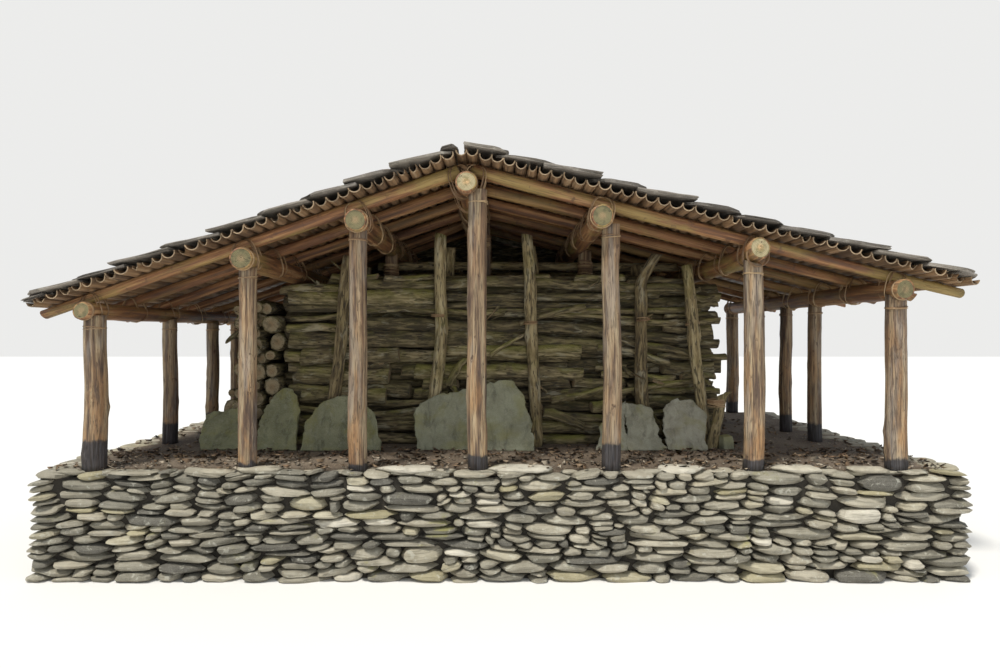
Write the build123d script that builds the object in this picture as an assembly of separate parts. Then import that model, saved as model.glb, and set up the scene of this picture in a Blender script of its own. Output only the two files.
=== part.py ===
from build123d import *
import math
import os
import random

# Sediq house: a low gabled roof of slate over split bamboo, on a frame of peeled logs,
# round a room of stacked logs, all on a dry-stone platform.
# Millimetres. The origin is on the ground under the middle of the platform.
# X runs to the right, Y to the rear and Z up. The front gable faces -Y.

# Platform
platform_width = 7680       # at its top
platform_depth = 4880       # at its top
platform_height = 880
platform_batter = 55        # how far its foot stands out past its top
platform_wall = 350         # thickness of the dry-stone walls at the top
course_count = 11           # courses of flat stones, from the ground to the top
course_variation = 0.25     # how much their heights vary, as a share
bed_joint_depth = 25        # how far the joint between two courses lies back
bed_joint_height = 24

# Frame
post_setback = 150          # from the platform's edge to the line of end posts
post_radius = 88
side_post_radius = 74
inner_post_radius = 78
post_taper = 0.93           # top radius as a share of the foot radius
saddle_rise = 0.45          # how far a post clasps its purlin, as a share of the purlin's radius
purlin_overhang = 150       # past the end posts
seat_gap = 0.3              # between round pieces that rest on each other
trunk_face_count = 16       # narrow flats round a peeled trunk

# Purlins, from the left eave to the right eave: where each lies, its radius and its post
ridge_x = -275
ridge_height = 2375         # of the ridge purlin's centre above the platform
left_pitch = 18.8           # of the plane over the purlins
right_pitch = 13.9
purlins = {
    "left_eave_purlin": (-3410, 72, -3375),
    "left_lower_purlin": (-2110, 88, -2100),
    "left_upper_purlin": (-1180, 90, -1183),
    "ridge_purlin": (ridge_x, 86, -183),
    "right_upper_purlin": (835, 90, 925),
    "right_lower_purlin": (2120, 88, 2108),
    "right_eave_purlin": (3300, 80, 3300),
}
left_side_posts = (-820, 370, 1170)
right_side_posts = (-625, 205, 1140)
inner_post_inset = 190      # from a log wall's inner face to the line of inner posts

# Rafters, split culms and slates
rafter_count = 7
rafter_butt = 57            # radius at the ridge
rafter_tip = 40             # radius at the eave
rafter_end_inset = 80       # from the end posts' line to the first rafter
left_eave_reach = 3525      # from the ridge to the eave, measured level
right_eave_reach = 4125
culm_pitch = 100
culm_height = 56
culm_wall = 9
deck_overhang = 180         # past the end posts
slate_thickness = 38
slate_exposure = 400
slate_lap = 110
slate_overhang = 25         # past the culms, at the eaves and at the gables

# Room of stacked logs
room_front = -940           # front face of the front wall
room_rear = 1900            # rear face of the rear wall
room_left = -2220           # inner face of the left wall
room_right = 2320           # outer face of the right wall
log_wall_thickness = 450
left_wall_top_thickness = 400
left_wall_batter = 190      # how much thicker the left wall is at its foot
gable_wall_height = 1640
left_wall_height = 1450
right_wall_height = 1600
crown_height = 90           # the front wall's last course, between the purlins
crown_half_length = 1850
gable_log = 108             # logs that close the rear gable up to the roof
gable_clearance = 30        # from the rafters and the purlins
shortest_log = 450
thin_log = 68
thick_log = 175
log_gap = 0.4
log_stagger = 130           # how much the free log ends vary
corner_gap = 10             # between two log walls that meet
doorway_width = 790         # from the front wall to the door post

# Stakes that clamp the stacked logs
stake_radius = 56
stake_head = 0.85           # its radius as a share of the foot's
stake_gap = 24              # from the wall's nominal face
stake_rise = 60             # of the side walls' stakes over the logs
inner_stake_shift = 60      # of the inner stakes beside their outer twins
# Each gable stake: where it stands, where its head is, and how high that is
gable_stakes = (
    (-1660, -1510, 1900),
    (-660, -590, 2120),
    (360, 265, 2120),
    (1480, 1400, 1930),
    (2040, 1860, 1820),
)
left_stake_rows = (150, 1150)
right_stake_rows = (640, 1240)
side_stake_lean = 40
tie_beam_radius = 44
tie_beam_height = 1873

# Slate slabs that lean on the front wall
slab_thickness = 42
slab_foot_y = -1315
slab_clearance = 12         # from the log wall, where no stake is in between

top = platform_height
front_line = post_setback - platform_depth / 2
rear_line = -front_line
front_wall_back = room_front + log_wall_thickness
rear_wall_front = room_rear - log_wall_thickness
jamb_post_y = front_wall_back + doorway_width + inner_post_radius


def save(name, solids):
    """Write one node. Solids of one node don't touch each other."""
    solids = list(solids)
    shape = solids[0] if len(solids) == 1 else Compound(children=solids)
    export_step(shape, f"parts/{name}.step")


def box_between(low, high):
    size = [b - a for a, b in zip(low, high)]
    middle = [(a + b) / 2 for a, b in zip(low, high)]
    return Pos(*middle) * Box(*size)


def only_solid(shape):
    return shape.solids()[0]


def trunk(foot_radius, head_radius, height):
    """A tapering peeled trunk that stands on the XY plane, with many narrow flats round it."""
    foot = RegularPolygon(foot_radius, trunk_face_count)
    head = Pos(0, 0, height) * RegularPolygon(head_radius, trunk_face_count)
    return loft([foot, head], ruled=True)


# Platform: battered courses of stone, split into four walls and the earth that they hold
def bed_joints():
    """The height of the joint between each two courses of flat stones."""
    dice = random.Random(5)
    shares = [1 + dice.uniform(-course_variation, course_variation) for _ in range(course_count)]
    return [platform_height * sum(shares[:i]) / sum(shares) for i in range(1, course_count)]


def platform_plan(height, inset=0):
    grow = platform_batter * (1 - height / platform_height) - inset
    return Pos(0, 0, height) * Rectangle(platform_width + 2 * grow, platform_depth + 2 * grow)


def platform():
    plans = [platform_plan(0)]
    for joint in bed_joints():
        plans += [platform_plan(joint - bed_joint_height / 2), platform_plan(joint, bed_joint_depth),
                  platform_plan(joint + bed_joint_height / 2)]
    plans.append(platform_plan(platform_height))
    block = loft(plans, ruled=True)
    far = platform_width + platform_depth
    inner_x = platform_width / 2 - platform_wall
    inner_y = platform_depth / 2 - platform_wall
    zones = {
        "front_stone_wall": ((-far, -far, 0), (far, -inner_y, far)),
        "rear_stone_wall": ((-far, inner_y, 0), (far, far, far)),
        "left_stone_wall": ((-far, -inner_y, 0), (-inner_x, inner_y, far)),
        "right_stone_wall": ((inner_x, -inner_y, 0), (far, inner_y, far)),
        "earth_platform": ((-inner_x, -inner_y, 0), (inner_x, inner_y, far)),
    }
    for name, (low, high) in zones.items():
        save(name, [only_solid(block & box_between(low, high))])


# Roof geometry: s runs down the slope from the ridge purlin's centre, n stands square to it
def pitch_of(side):
    return math.radians(left_pitch if side < 0 else right_pitch)


def roof_point(side, s, n):
    a = pitch_of(side)
    x = ridge_x + side * (s * math.cos(a) + n * math.sin(a))
    z = top + ridge_height - s * math.sin(a) + n * math.cos(a)
    return x, z


def purlin_centre(name):
    """Every purlin's top touches one plane on each slope."""
    x, radius, _ = purlins[name]
    if name == "ridge_purlin":
        return x, top + ridge_height
    side = -1 if x < ridge_x else 1
    ridge_radius = purlins["ridge_purlin"][1]
    a = pitch_of(side)
    z = top + ridge_height - abs(x - ridge_x) * math.tan(a) + (ridge_radius - radius) / math.cos(a)
    return x, z


def purlin_solid(name, extra=0.0):
    _, radius, _ = purlins[name]
    x, z = purlin_centre(name)
    length = 2 * (rear_line + purlin_overhang)
    return Pos(x, 0, z) * Rot(90, 0, 0) * Cylinder(radius + extra, length)


def post(name, x, y, radius):
    """A post on the platform whose top is hollowed to clasp the purlin over it."""
    _, purlin_radius, _ = purlins[name]
    _, purlin_z = purlin_centre(name)
    height = purlin_z - purlin_radius * (1 - saddle_rise) - top
    shaft = Pos(x, y, top) * trunk(radius, radius * post_taper, height)
    return only_solid(shaft - purlin_solid(name, seat_gap))


def inner_post_reach(name, height):
    """How far a tapering inner post reaches front and back at a height above the platform."""
    full = purlin_centre(name)[1] - purlins[name][1] * (1 - saddle_rise) - top
    return inner_post_radius * (1 - (1 - post_taper) * height / full)


def frame():
    for name in purlins:
        save(name, [only_solid(purlin_solid(name))])
    for number, name in enumerate(purlins, 1):
        save(f"front_post_{number}", [post(name, purlins[name][2], front_line, post_radius)])
    save("rear_posts", [post(name, purlins[name][2], rear_line, post_radius) for name in purlins])
    for row, name, lines in (("left_side_posts", "left_eave_purlin", left_side_posts),
                             ("right_side_posts", "right_eave_purlin", right_side_posts)):
        save(row, [post(name, purlins[name][2], y, side_post_radius) for y in lines])
    carried = ("left_upper_purlin", "ridge_purlin", "right_upper_purlin")
    front_y = front_wall_back + inner_post_inset
    rear_y = rear_wall_front - inner_post_inset
    save("front_inner_posts", [post(name, purlins[name][2], front_y, inner_post_radius) for name in carried])
    save("rear_inner_posts", [post(name, purlins[name][2], rear_y, inner_post_radius) for name in carried])
    jamb_x = purlins["right_lower_purlin"][2]
    save("door_post", [post("right_lower_purlin", jamb_x, jamb_post_y, inner_post_radius)])
    for name, y, sense in (("front_tie_beam", front_y, 1), ("rear_tie_beam", rear_y, -1)):
        post_reach = max(inner_post_reach(carrier, tie_beam_height) for carrier in carried)
        beam_y = y + sense * (post_reach + tie_beam_radius + seat_gap)
        first = purlins["left_upper_purlin"][2] - 2 * inner_post_radius
        last = purlins["right_lower_purlin"][2] - 2 * inner_post_radius
        middle = Pos((first + last) / 2, beam_y, top + tie_beam_height)
        save(name, [only_solid(middle * Rot(0, 90, 0) * Cylinder(tie_beam_radius, last - first))])


def half_space(side):
    """Everything on one side of the upright plane through the ridge."""
    far = platform_width
    low_x, high_x = (ridge_x - far, ridge_x) if side < 0 else (ridge_x, ridge_x + far)
    return box_between((low_x, -far, 0), (high_x, far, far))


def slope_length(side):
    reach = left_eave_reach if side < 0 else right_eave_reach
    return reach / math.cos(pitch_of(side))


def rafters(side, name):
    """Tapering poles on the purlins, cut plumb where the two slopes meet."""
    ridge_radius = purlins["ridge_purlin"][1]
    length = slope_length(side)
    lead = 2 * rafter_butt
    grow = (rafter_butt - rafter_tip) / length
    upper = rafter_butt + grow * lead
    x0, z0 = roof_point(side, -lead, ridge_radius + seat_gap + upper)
    x1, z1 = roof_point(side, length, ridge_radius + seat_gap + rafter_tip)
    run = math.hypot(x1 - x0, z1 - z0)
    solids = []
    first = front_line + rafter_end_inset
    for i in range(rafter_count):
        y = first - 2 * first * i / (rafter_count - 1)
        plane = Plane(origin=(x0, y, z0), z_dir=(x1 - x0, 0, z1 - z0))
        pole = plane * trunk(upper, rafter_tip, run)
        solids.append(only_solid(pole & half_space(side)))
    save(name, solids)


def deck_plane(side):
    """A plane along the rafters' tops: local X runs down the slope, local Y stands square to it."""
    ridge_radius = purlins["ridge_purlin"][1]
    length = slope_length(side)
    x0, z0 = roof_point(side, 0, ridge_radius + seat_gap + 2 * rafter_butt)
    x1, z1 = roof_point(side, length, ridge_radius + seat_gap + 2 * rafter_tip)
    dx, dz = x1 - x0, z1 - z0
    run = math.hypot(dx, dz)
    normal_y = side  # the section is drawn in the XZ plane and pushed along Y
    return Plane(origin=(x0, 0, z0), x_dir=(dx / run, 0, dz / run), z_dir=(0, -normal_y, 0)), run


def culm_section(count):
    """Split culms side by side, hollow side up, as one wavy sheet that is joined at the rims."""
    half = culm_pitch / 2
    corners = 5
    deepest = math.sin(math.pi * (corners // 2) / corners)
    outer, inner = [], []
    for c in range(count):
        middle = (c + 0.5) * culm_pitch
        for k in range(corners + 1):
            angle = math.pi * k / corners
            u = -math.cos(angle)
            v = -math.sin(angle) / deepest
            if k < corners or c == count - 1:
                outer.append((middle + half * u, culm_height + culm_height * v))
            if 0 < k < corners:
                inner.append((middle + (half - culm_wall) * u, culm_height + (culm_height - culm_wall) * v))
            else:
                rim = middle + half * u
                if not inner or abs(inner[-1][0] - rim) > 1:
                    inner.append((rim, culm_height + culm_wall))
    return outer + inner[::-1]


def bamboo(side, name):
    plane, run = deck_plane(side)
    count = int(run // culm_pitch)
    section = Polygon(*culm_section(count), align=None)
    depth = 2 * (rear_line + deck_overhang)
    lift = Pos(run - count * culm_pitch, seat_gap, 0)
    sheet = extrude(plane * lift * section, amount=depth / 2, both=True)
    save(name, [only_solid(sheet & half_space(side))])


def slates(side, name):
    """Courses of slate: each rests its lower edge on the course below and its head on the culms."""
    plane, run = deck_plane(side)
    bed = culm_height + culm_wall + 2 * seat_gap
    tilt = math.asin((slate_thickness + seat_gap) / slate_exposure)
    eave = run + slate_overhang
    depth = 2 * (rear_line + deck_overhang + slate_overhang)
    length = slate_exposure + slate_lap
    solids = []

    def course(start, size, angle, lift):
        along = (math.cos(angle), math.sin(angle))
        up = (-math.sin(angle), math.cos(angle))
        a = (start, bed + lift)
        b = (a[0] + size * along[0], a[1] + size * along[1])
        c = (b[0] + slate_thickness * up[0], b[1] + slate_thickness * up[1])
        d = (a[0] + slate_thickness * up[0], a[1] + slate_thickness * up[1])
        section = Polygon(a, b, c, d, align=None)
        slab = extrude(plane * section, amount=depth / 2, both=True)
        return only_solid(slab & half_space(side))

    starter = eave - slate_lap * math.cos(tilt)
    solids.append(course(starter, slate_lap, 0.0, 0.0))
    start = eave - slate_exposure - slate_lap
    while start > -slate_exposure:
        solids.append(course(start, length, tilt, 0.0))
        start -= slate_exposure
    save(name, solids)


# Stacked logs
def log_section(width, height):
    """An eight-sided section that stands on a flat."""
    k = math.tan(math.pi / 8)
    w, h = width / 2, height / 2
    return Polygon((w, h * k), (w * k, h), (-w * k, h), (-w, h * k),
                   (-w, -h * k), (-w * k, -h), (w * k, -h), (w, -h * k), align=None)


def log(start, end, across, width, low, height, along_x):
    """One log from start to end along its wall. across and low are its middle and underside."""
    section = log_section(width, height)
    length = end - start
    if along_x:
        plane = Plane(origin=(start, across, low + height / 2), x_dir=(0, 1, 0), z_dir=(1, 0, 0))
    else:
        plane = Plane(origin=(across, start, low + height / 2), x_dir=(-1, 0, 0), z_dir=(0, 1, 0))
    return only_solid(extrude(plane * section, amount=length))


def log_wall(start, end, inner, outer, height, along_x, seed, free=(True, True), batter=0.0, crown=()):
    """Courses of logs from one face of the wall to the other. inner and outer are the two faces.

    free says which ends are ragged. batter thickens the foot of the wall on its outer side.
    crown holds (start, end, underside, height) for each log of the courses on top.
    """
    rng = random.Random(seed)
    heights = []
    while sum(heights) < height:
        heights.append(rng.uniform(thin_log, thick_log))
    scale = height / sum(heights)
    sense = 1 if outer > inner else -1
    solids = []
    low = top + seat_gap
    for h in [h * scale for h in heights]:
        spread = abs(outer - inner) + batter * (1 - (low - top) / height)
        deep = max(2, round(spread / (1.35 * h)))
        deep = min(deep, 4)
        width = spread / deep
        for d in range(deep):
            across = inner + sense * (d + 0.5) * width
            a = start + (rng.uniform(0, log_stagger) if free[0] else 0)
            b = end - (rng.uniform(0, log_stagger) if free[1] else 0)
            solids.append(log(a, b, across, width - log_gap, low, h - log_gap, along_x))
        low += h
    width = abs(outer - inner) / 2
    for first, last, low, h in crown:
        stagger = min(log_stagger, (last - first) / 8)
        for d in range(2):
            across = inner + sense * (d + 0.5) * width
            a = first + rng.uniform(0, stagger)
            b = last - rng.uniform(0, stagger)
            solids.append(log(a, b, across, width - log_gap, low, h - log_gap, along_x))
    return solids


def roof_reach(side, height):
    """Where the roof's slope on this side comes down to a height, less the clearance."""
    a = pitch_of(side)
    plane = top + ridge_height + purlins["ridge_purlin"][1] / math.cos(a) - gable_clearance
    return ridge_x + side * (plane - height) / math.tan(a)


def gable_courses():
    """Logs that fill a gable from the wall's top up to the roof, between the purlins."""
    courses = []
    low = top + gable_wall_height + seat_gap
    while True:
        high = low + gable_log
        spans = [(max(roof_reach(-1, high), room_left + corner_gap), min(roof_reach(1, high), room_right))]
        for name, (x, radius, _) in purlins.items():
            z = purlin_centre(name)[1]
            reach = radius + gable_clearance
            if low < z + reach and high > z - reach:
                spans = [piece for a, b in spans for piece in ((a, min(b, x - reach)), (max(a, x + reach), b))]
        spans = [(a, b) for a, b in spans if b - a > shortest_log]
        if not spans:
            return courses
        courses += [(a, b, low, gable_log) for a, b in spans]
        low = high


def walls():
    left_face = room_left + corner_gap
    crown = [(-crown_half_length, crown_half_length, top + gable_wall_height + seat_gap, crown_height)]
    save("front_log_wall", log_wall(left_face, room_right, front_wall_back, room_front, gable_wall_height,
                                    True, 3, (False, True), crown=crown))
    save("rear_log_wall", log_wall(left_face, room_right, rear_wall_front, room_rear, gable_wall_height,
                                   True, 5, (False, True), crown=gable_courses()))
    save("left_log_wall", log_wall(room_front, room_rear, room_left, room_left - left_wall_top_thickness,
                                   left_wall_height, False, 8, batter=left_wall_batter))
    jamb = jamb_post_y + inner_post_radius + corner_gap
    save("right_log_wall", log_wall(jamb, rear_wall_front - corner_gap, room_right - log_wall_thickness,
                                    room_right, right_wall_height, False, 11, (False, False)))


def stake(foot, head):
    """An eight-sided stake with a level foot and head, from one point to the other."""
    (x0, y0, z0), (x1, y1, z1) = foot, head
    ring = RegularPolygon(stake_radius, 8)
    low = Pos(x0, y0, z0) * ring
    high = Pos(x1, y1, z1) * scale(ring, stake_head)
    return only_solid(loft([low, high], ruled=True))


def stakes():
    off = stake_radius + stake_gap
    front_out = room_front - off
    front_in = front_wall_back + off
    rear_out = room_rear + off
    rear_in = rear_wall_front - off
    front, rear = [], []
    for foot_x, head_x, height in gable_stakes:
        front.append(stake((foot_x, front_out, top), (head_x, front_out, top + height)))
        rear.append(stake((foot_x, rear_out, top), (head_x, rear_out, top + height)))
        if foot_x < room_right - log_wall_thickness:
            foot_in, head_in = foot_x + inner_stake_shift, head_x + inner_stake_shift
            head_z = top + height - stake_radius
            front.append(stake((foot_in, front_in, top), (head_in, front_in, head_z)))
            rear.append(stake((foot_in, rear_in, top), (head_in, rear_in, head_z)))
    save("front_wall_stakes", front)
    save("rear_wall_stakes", rear)
    left_out = room_left - left_wall_top_thickness - left_wall_batter - off
    left_in = room_left + off
    left_head = top + left_wall_height + stake_rise
    left, right = [], []
    for y in left_stake_rows:
        left.append(stake((left_out, y, top), (left_out + left_wall_batter, y + side_stake_lean, left_head)))
        left.append(stake((left_in, y + side_stake_lean, top), (left_in, y, left_head)))
    right_out = room_right + off
    right_in = room_right - log_wall_thickness - off
    right_head = top + right_wall_height - stake_rise
    for y in right_stake_rows:
        right.append(stake((right_out, y, top), (right_out, y + side_stake_lean, right_head)))
        right.append(stake((right_in, y + side_stake_lean, top), (right_in, y, right_head)))
    save("left_wall_stakes", left)
    save("right_wall_stakes", right)


# Leaning slabs: each outline is given along X and up the slab
def slab(outline, back_top_y):
    height = max(v for _, v in outline)
    lean = math.degrees(math.asin((back_top_y - slab_foot_y - slab_thickness) / height))
    section = Polygon(*outline, align=None)
    plane = Plane(origin=(0, 0, 0), x_dir=(1, 0, 0), z_dir=(0, -1, 0))
    plate = extrude(plane * section, amount=-slab_thickness)
    leaned = Pos(0, slab_foot_y, top) * Rot(-lean, 0, 0) * plate
    drop = leaned.bounding_box().min.Z - top
    return only_solid(Pos(0, 0, -drop) * leaned)


def slabs():
    stake_face = room_front - 2 * stake_radius - stake_gap
    wall_face = room_front - slab_clearance
    against_wall = (
        [(-2905, 0), (-2435, 0), (-2440, 430), (-2560, 465), (-2780, 480), (-2900, 430)],
        [(-2360, 0), (-1955, 0), (-1950, 380), (-2010, 560), (-2090, 660), (-2215, 620), (-2330, 440)],
    )
    against_stakes = (
        [(-1915, 0), (-1140, 0), (-1145, 90), (-1225, 360), (-1530, 540), (-1810, 430), (-1890, 320)],
        [(-820, 0), (332, 0), (325, 90), (252, 300), (215, 560), (140, 670), (55, 690), (-110, 615),
         (-330, 620), (-610, 560), (-780, 470), (-825, 370)],
        [(900, 0), (1215, 0), (1215, 500), (1130, 440), (1000, 250)],
        [(1225, 0), (1585, 0), (1540, 250), (1465, 455), (1225, 455)],
        [(1600, 0), (2005, 0), (2000, 380), (1900, 500), (1750, 525), (1600, 460)],
    )
    solids = [slab(outline, wall_face) for outline in against_wall]
    solids += [slab(outline, stake_face) for outline in against_stakes]
    save("leaning_slabs", solids)


os.makedirs("parts", exist_ok=True)
platform()
frame()
rafters(-1, "left_rafters")
rafters(1, "right_rafters")
bamboo(-1, "left_bamboo")
bamboo(1, "right_bamboo")
slates(-1, "left_slates")
slates(1, "right_slates")
walls()
stakes()
slabs()
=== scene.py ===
import math
import random
from functools import cache
from typing import NamedTuple

import bmesh
import bpy
from mathutils import Matrix, Vector, noise


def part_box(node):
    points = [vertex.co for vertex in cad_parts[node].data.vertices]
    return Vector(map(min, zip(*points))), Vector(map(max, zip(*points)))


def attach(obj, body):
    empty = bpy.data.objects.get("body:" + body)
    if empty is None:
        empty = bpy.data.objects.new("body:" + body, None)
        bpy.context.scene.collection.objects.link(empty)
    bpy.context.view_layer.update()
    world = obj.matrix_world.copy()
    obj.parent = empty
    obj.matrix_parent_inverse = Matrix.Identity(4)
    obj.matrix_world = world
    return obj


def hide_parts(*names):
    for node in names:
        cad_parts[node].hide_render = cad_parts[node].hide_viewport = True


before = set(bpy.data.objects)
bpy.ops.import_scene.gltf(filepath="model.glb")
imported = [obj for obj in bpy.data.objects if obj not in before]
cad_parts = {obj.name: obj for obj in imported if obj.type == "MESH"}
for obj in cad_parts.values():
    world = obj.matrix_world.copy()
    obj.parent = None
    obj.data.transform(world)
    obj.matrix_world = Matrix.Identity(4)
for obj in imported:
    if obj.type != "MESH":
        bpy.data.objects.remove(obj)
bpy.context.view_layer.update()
scene = bpy.context.scene

# Metres, in the CAD frame: X to the right, Y to the rear, Z up, origin on the ground under the platform.
UP = Vector((0, 0, 1))
ALONG = Vector((0, 1, 0))
ACROSS = Vector((1, 0, 0))
UNTURNED = Matrix.Identity(3)
PURLINS = ("left_eave_purlin", "left_lower_purlin", "left_upper_purlin", "ridge_purlin",
           "right_upper_purlin", "right_lower_purlin", "right_eave_purlin")

# The roof's two slopes, as the rafters and split culms lie on them
SIDE_NAME = {-1: "left", 1: "right"}
PITCH = {-1: math.radians(18.8), 1: math.radians(13.9)}
REACH = {-1: 3.525, 1: 4.125}
RAFTER_BUTT = 0.057
RAFTER_TIP = 0.040
CULM_PITCH = 0.100
CULM_HEIGHT = 0.056
CULM_WALL = 0.009
SLATE_THICKNESS = 0.038
SLATE_EXPOSURE = 0.400
SLATE_LAP = 0.110
SLATE_OVERHANG = 0.025

# The dry-stone platform
PLATFORM_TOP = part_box("earth_platform")[1].z
STONE_WALL_THICKNESS = 0.350
STONE_BATTER = 0.055


# Tools for shader trees

def put(socket, value):
    """Links an output to the socket, or sets the socket's own value."""
    if isinstance(value, bpy.types.NodeSocket):
        socket.id_data.links.new(value, socket)
    elif isinstance(value, tuple) and len(value) == 3 and socket.type == "RGBA":
        socket.default_value = (*value, 1)
    else:
        socket.default_value = value


class Nodes:
    """Adds nodes to one shader tree. Each method gives the output that holds its result."""

    def __init__(self, tree):
        self.tree = tree

    def add(self, kind, inputs, output=0, **settings):
        node = self.tree.nodes.new("ShaderNode" + kind)
        for name, value in settings.items():
            setattr(node, name, value)
        for name, value in inputs.items():
            put(node.inputs[name], value)
        return node.outputs[output]

    def use(self, group, **values):
        """All the outputs of a shared effect."""
        node = self.tree.nodes.new("ShaderNodeGroup")
        node.node_tree = group
        for name, value in values.items():
            put(node.inputs[name], value)
        return node.outputs

    def noise(self, vector, scale, detail=4, roughness=0.55, distortion=0.0):
        return self.add("TexNoise", {"Vector": vector, "Scale": scale, "Detail": detail,
                                     "Roughness": roughness, "Distortion": distortion}, "Fac")

    def calc(self, operation, first, second=0.0, clamp=False):
        return self.add("Math", {0: first, 1: second}, operation=operation, use_clamp=clamp)

    def times(self, first, second, clamp=False):
        return self.calc("MULTIPLY", first, second, clamp)

    def plus(self, first, second, clamp=False):
        return self.calc("ADD", first, second, clamp)

    def minus(self, first, second):
        return self.calc("SUBTRACT", first, second)

    def stretched(self, vector, scale):
        """The vector with each axis scaled, which draws a pattern out along the others."""
        return self.add("VectorMath", {0: vector, 1: scale}, operation="MULTIPLY")

    def between(self, value, low, high, to_low=0.0, to_high=1.0):
        return self.add("MapRange", {"Value": value, "From Min": low, "From Max": high, "To Min": to_low,
                                     "To Max": to_high}, "Result", interpolation_type="SMOOTHSTEP")

    def blended(self, factor, first, second, mode="MIX"):
        return self.add("Mix", {0: factor, 6: first, 7: second}, 2, data_type="RGBA", blend_type=mode)

    def ramp(self, value, stops):
        node = self.tree.nodes.new("ShaderNodeValToRGB")
        elements = node.color_ramp.elements
        while len(elements) < len(stops):
            elements.new(0.5)
        for element, (place, colour) in zip(elements, stops):
            element.position = place
            element.color = (*colour, 1)
        put(node.inputs["Fac"], value)
        return node.outputs["Color"]

    def attribute(self, name, output="Vector"):
        return self.add("Attribute", {}, output, attribute_name=name)

    def object_place(self):
        return self.add("TexCoord", {}, "Object")

    def axis(self, vector, name):
        return self.add("SeparateXYZ", {0: vector}, name)

    def patches(self, vector, scale, level, softness):
        return self.use(PATCHES, Vector=vector, Scale=scale, Level=level, Softness=softness)["Mask"]

    def long_patches(self, vector, stretch, level, softness):
        return self.patches(self.stretched(vector, stretch), 1.0, level, softness)


class Finish(Nodes):
    """A material in the making. grain and tone are what every stone or pole has on its points."""

    def __init__(self, name):
        self.material = bpy.data.materials.new(name)
        self.material.use_nodes = True
        super().__init__(self.material.node_tree)
        self.inputs = self.tree.nodes["Principled BSDF"].inputs
        self.colour = None

    def grain(self):
        return self.attribute("grain")

    def tone(self):
        return self.attribute("tone", "Fac")

    def cover(self, factor, colour):
        """Lays a colour over the base colour so far."""
        self.colour = self.blended(factor, self.colour, colour)

    def tint(self, mask, share, colour):
        self.cover(self.times(mask, share), colour)

    def cracks(self, open_wood, share, colour):
        """Darkens the cracks, which are where open_wood is 0."""
        self.tint(self.minus(1.0, open_wood), share, colour)

    def shaded(self, colour):
        return self.blended(1.0, self.colour, colour, "MULTIPLY")

    def done(self, roughness, height=None, strength=1.0, distance=0.0):
        put(self.inputs["Base Color"], self.colour)
        put(self.inputs["Roughness"], roughness)
        if height is not None:
            bump = {"Height": height, "Strength": strength, "Distance": distance}
            put(self.inputs["Normal"], self.add("Bump", bump, "Normal"))
        return self.material


# Shared effects, as node groups that give masks and heights

def effect(name, inputs, outputs, build):
    """A node group: build(nodes, inputs) gives one output for each name in outputs."""
    tree = bpy.data.node_groups.new(name, "ShaderNodeTree")
    for socket_name, default in inputs.items():
        kind = "NodeSocketVector" if default is None else "NodeSocketFloat"
        socket = tree.interface.new_socket(socket_name, in_out="INPUT", socket_type=kind)
        if default is not None:
            socket.default_value = default
    for socket_name in outputs:
        tree.interface.new_socket(socket_name, in_out="OUTPUT", socket_type="NodeSocketFloat")
    entry = tree.nodes.new("NodeGroupInput")
    leave = tree.nodes.new("NodeGroupOutput")
    for socket_name, result in zip(outputs, build(Nodes(tree), entry.outputs)):
        put(leave.inputs[socket_name], result)
    return tree


def build_patches(n, given):
    cloud = n.noise(given["Vector"], given["Scale"], 5, 0.6, 0.4)
    low = n.minus(given["Level"], given["Softness"])
    high = n.plus(given["Level"], given["Softness"])
    return [n.between(cloud, low, high)]


def build_fibre(n, given):
    drawn = n.add("CombineXYZ", {0: given["Across"], 1: given["Across"], 2: given["Lengthwise"]})
    place = n.stretched(given["Vector"], drawn)
    streaks = n.noise(place, 1.0, 5, 0.6, 0.3)
    fine = n.noise(place, 3.1, 3, 0.6)
    crack = n.between(n.noise(place, 1.7, 2, 0.5, 0.8), 0.36, 0.46)
    height = n.times(n.plus(streaks, n.times(fine, 0.5)), crack)
    return [n.between(streaks, 0.33, 0.67), crack, height]


def build_moss(n, given):
    """Moss grows most on what faces up."""
    facing = n.axis(n.add("NewGeometry", {}, "Normal"), "Z")
    up = n.between(facing, -0.5, 0.9, 0.35, 1.0)
    cloud = n.noise(given["Vector"], given["Scale"], 6, 0.65, 0.3)
    level = n.minus(0.78, n.times(given["Amount"], 0.42))
    grown = n.between(cloud, level, n.plus(level, 0.16))
    return [n.times(grown, n.times(up, up), True)]


def build_grit(n, given):
    coarse = n.noise(given["Vector"], given["Scale"], 6, 0.68)
    fine = n.noise(given["Vector"], n.times(given["Scale"], 6.0), 3, 0.6)
    return [n.between(fine, 0.35, 0.7), n.plus(coarse, n.times(fine, 0.35))]


def build_rings(n, given):
    flat = n.stretched(given["Vector"], (1.0, 1.0, 0.0))
    distance = n.add("VectorMath", {0: flat}, "Value", operation="LENGTH")
    wander = n.times(n.noise(given["Vector"], 20.0, 2), 0.012)
    wave = n.calc("SINE", n.times(n.plus(distance, wander), given["Tightness"]))
    cracks = n.noise(n.stretched(given["Vector"], (14.0, 55.0, 1.0)), 1.0, 2, 0.5, 1.5)
    return [n.between(wave, -1.0, 1.0), n.between(cracks, 0.30, 0.38), distance]


def build_height_fade(n, given):
    place = n.object_place()
    ragged = n.times(n.noise(place, given["Scale"], 3), given["Raggedness"])
    return [n.between(n.plus(n.axis(place, "Z"), ragged), given["Low"], given["High"], 1.0, 0.0)]


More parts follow.
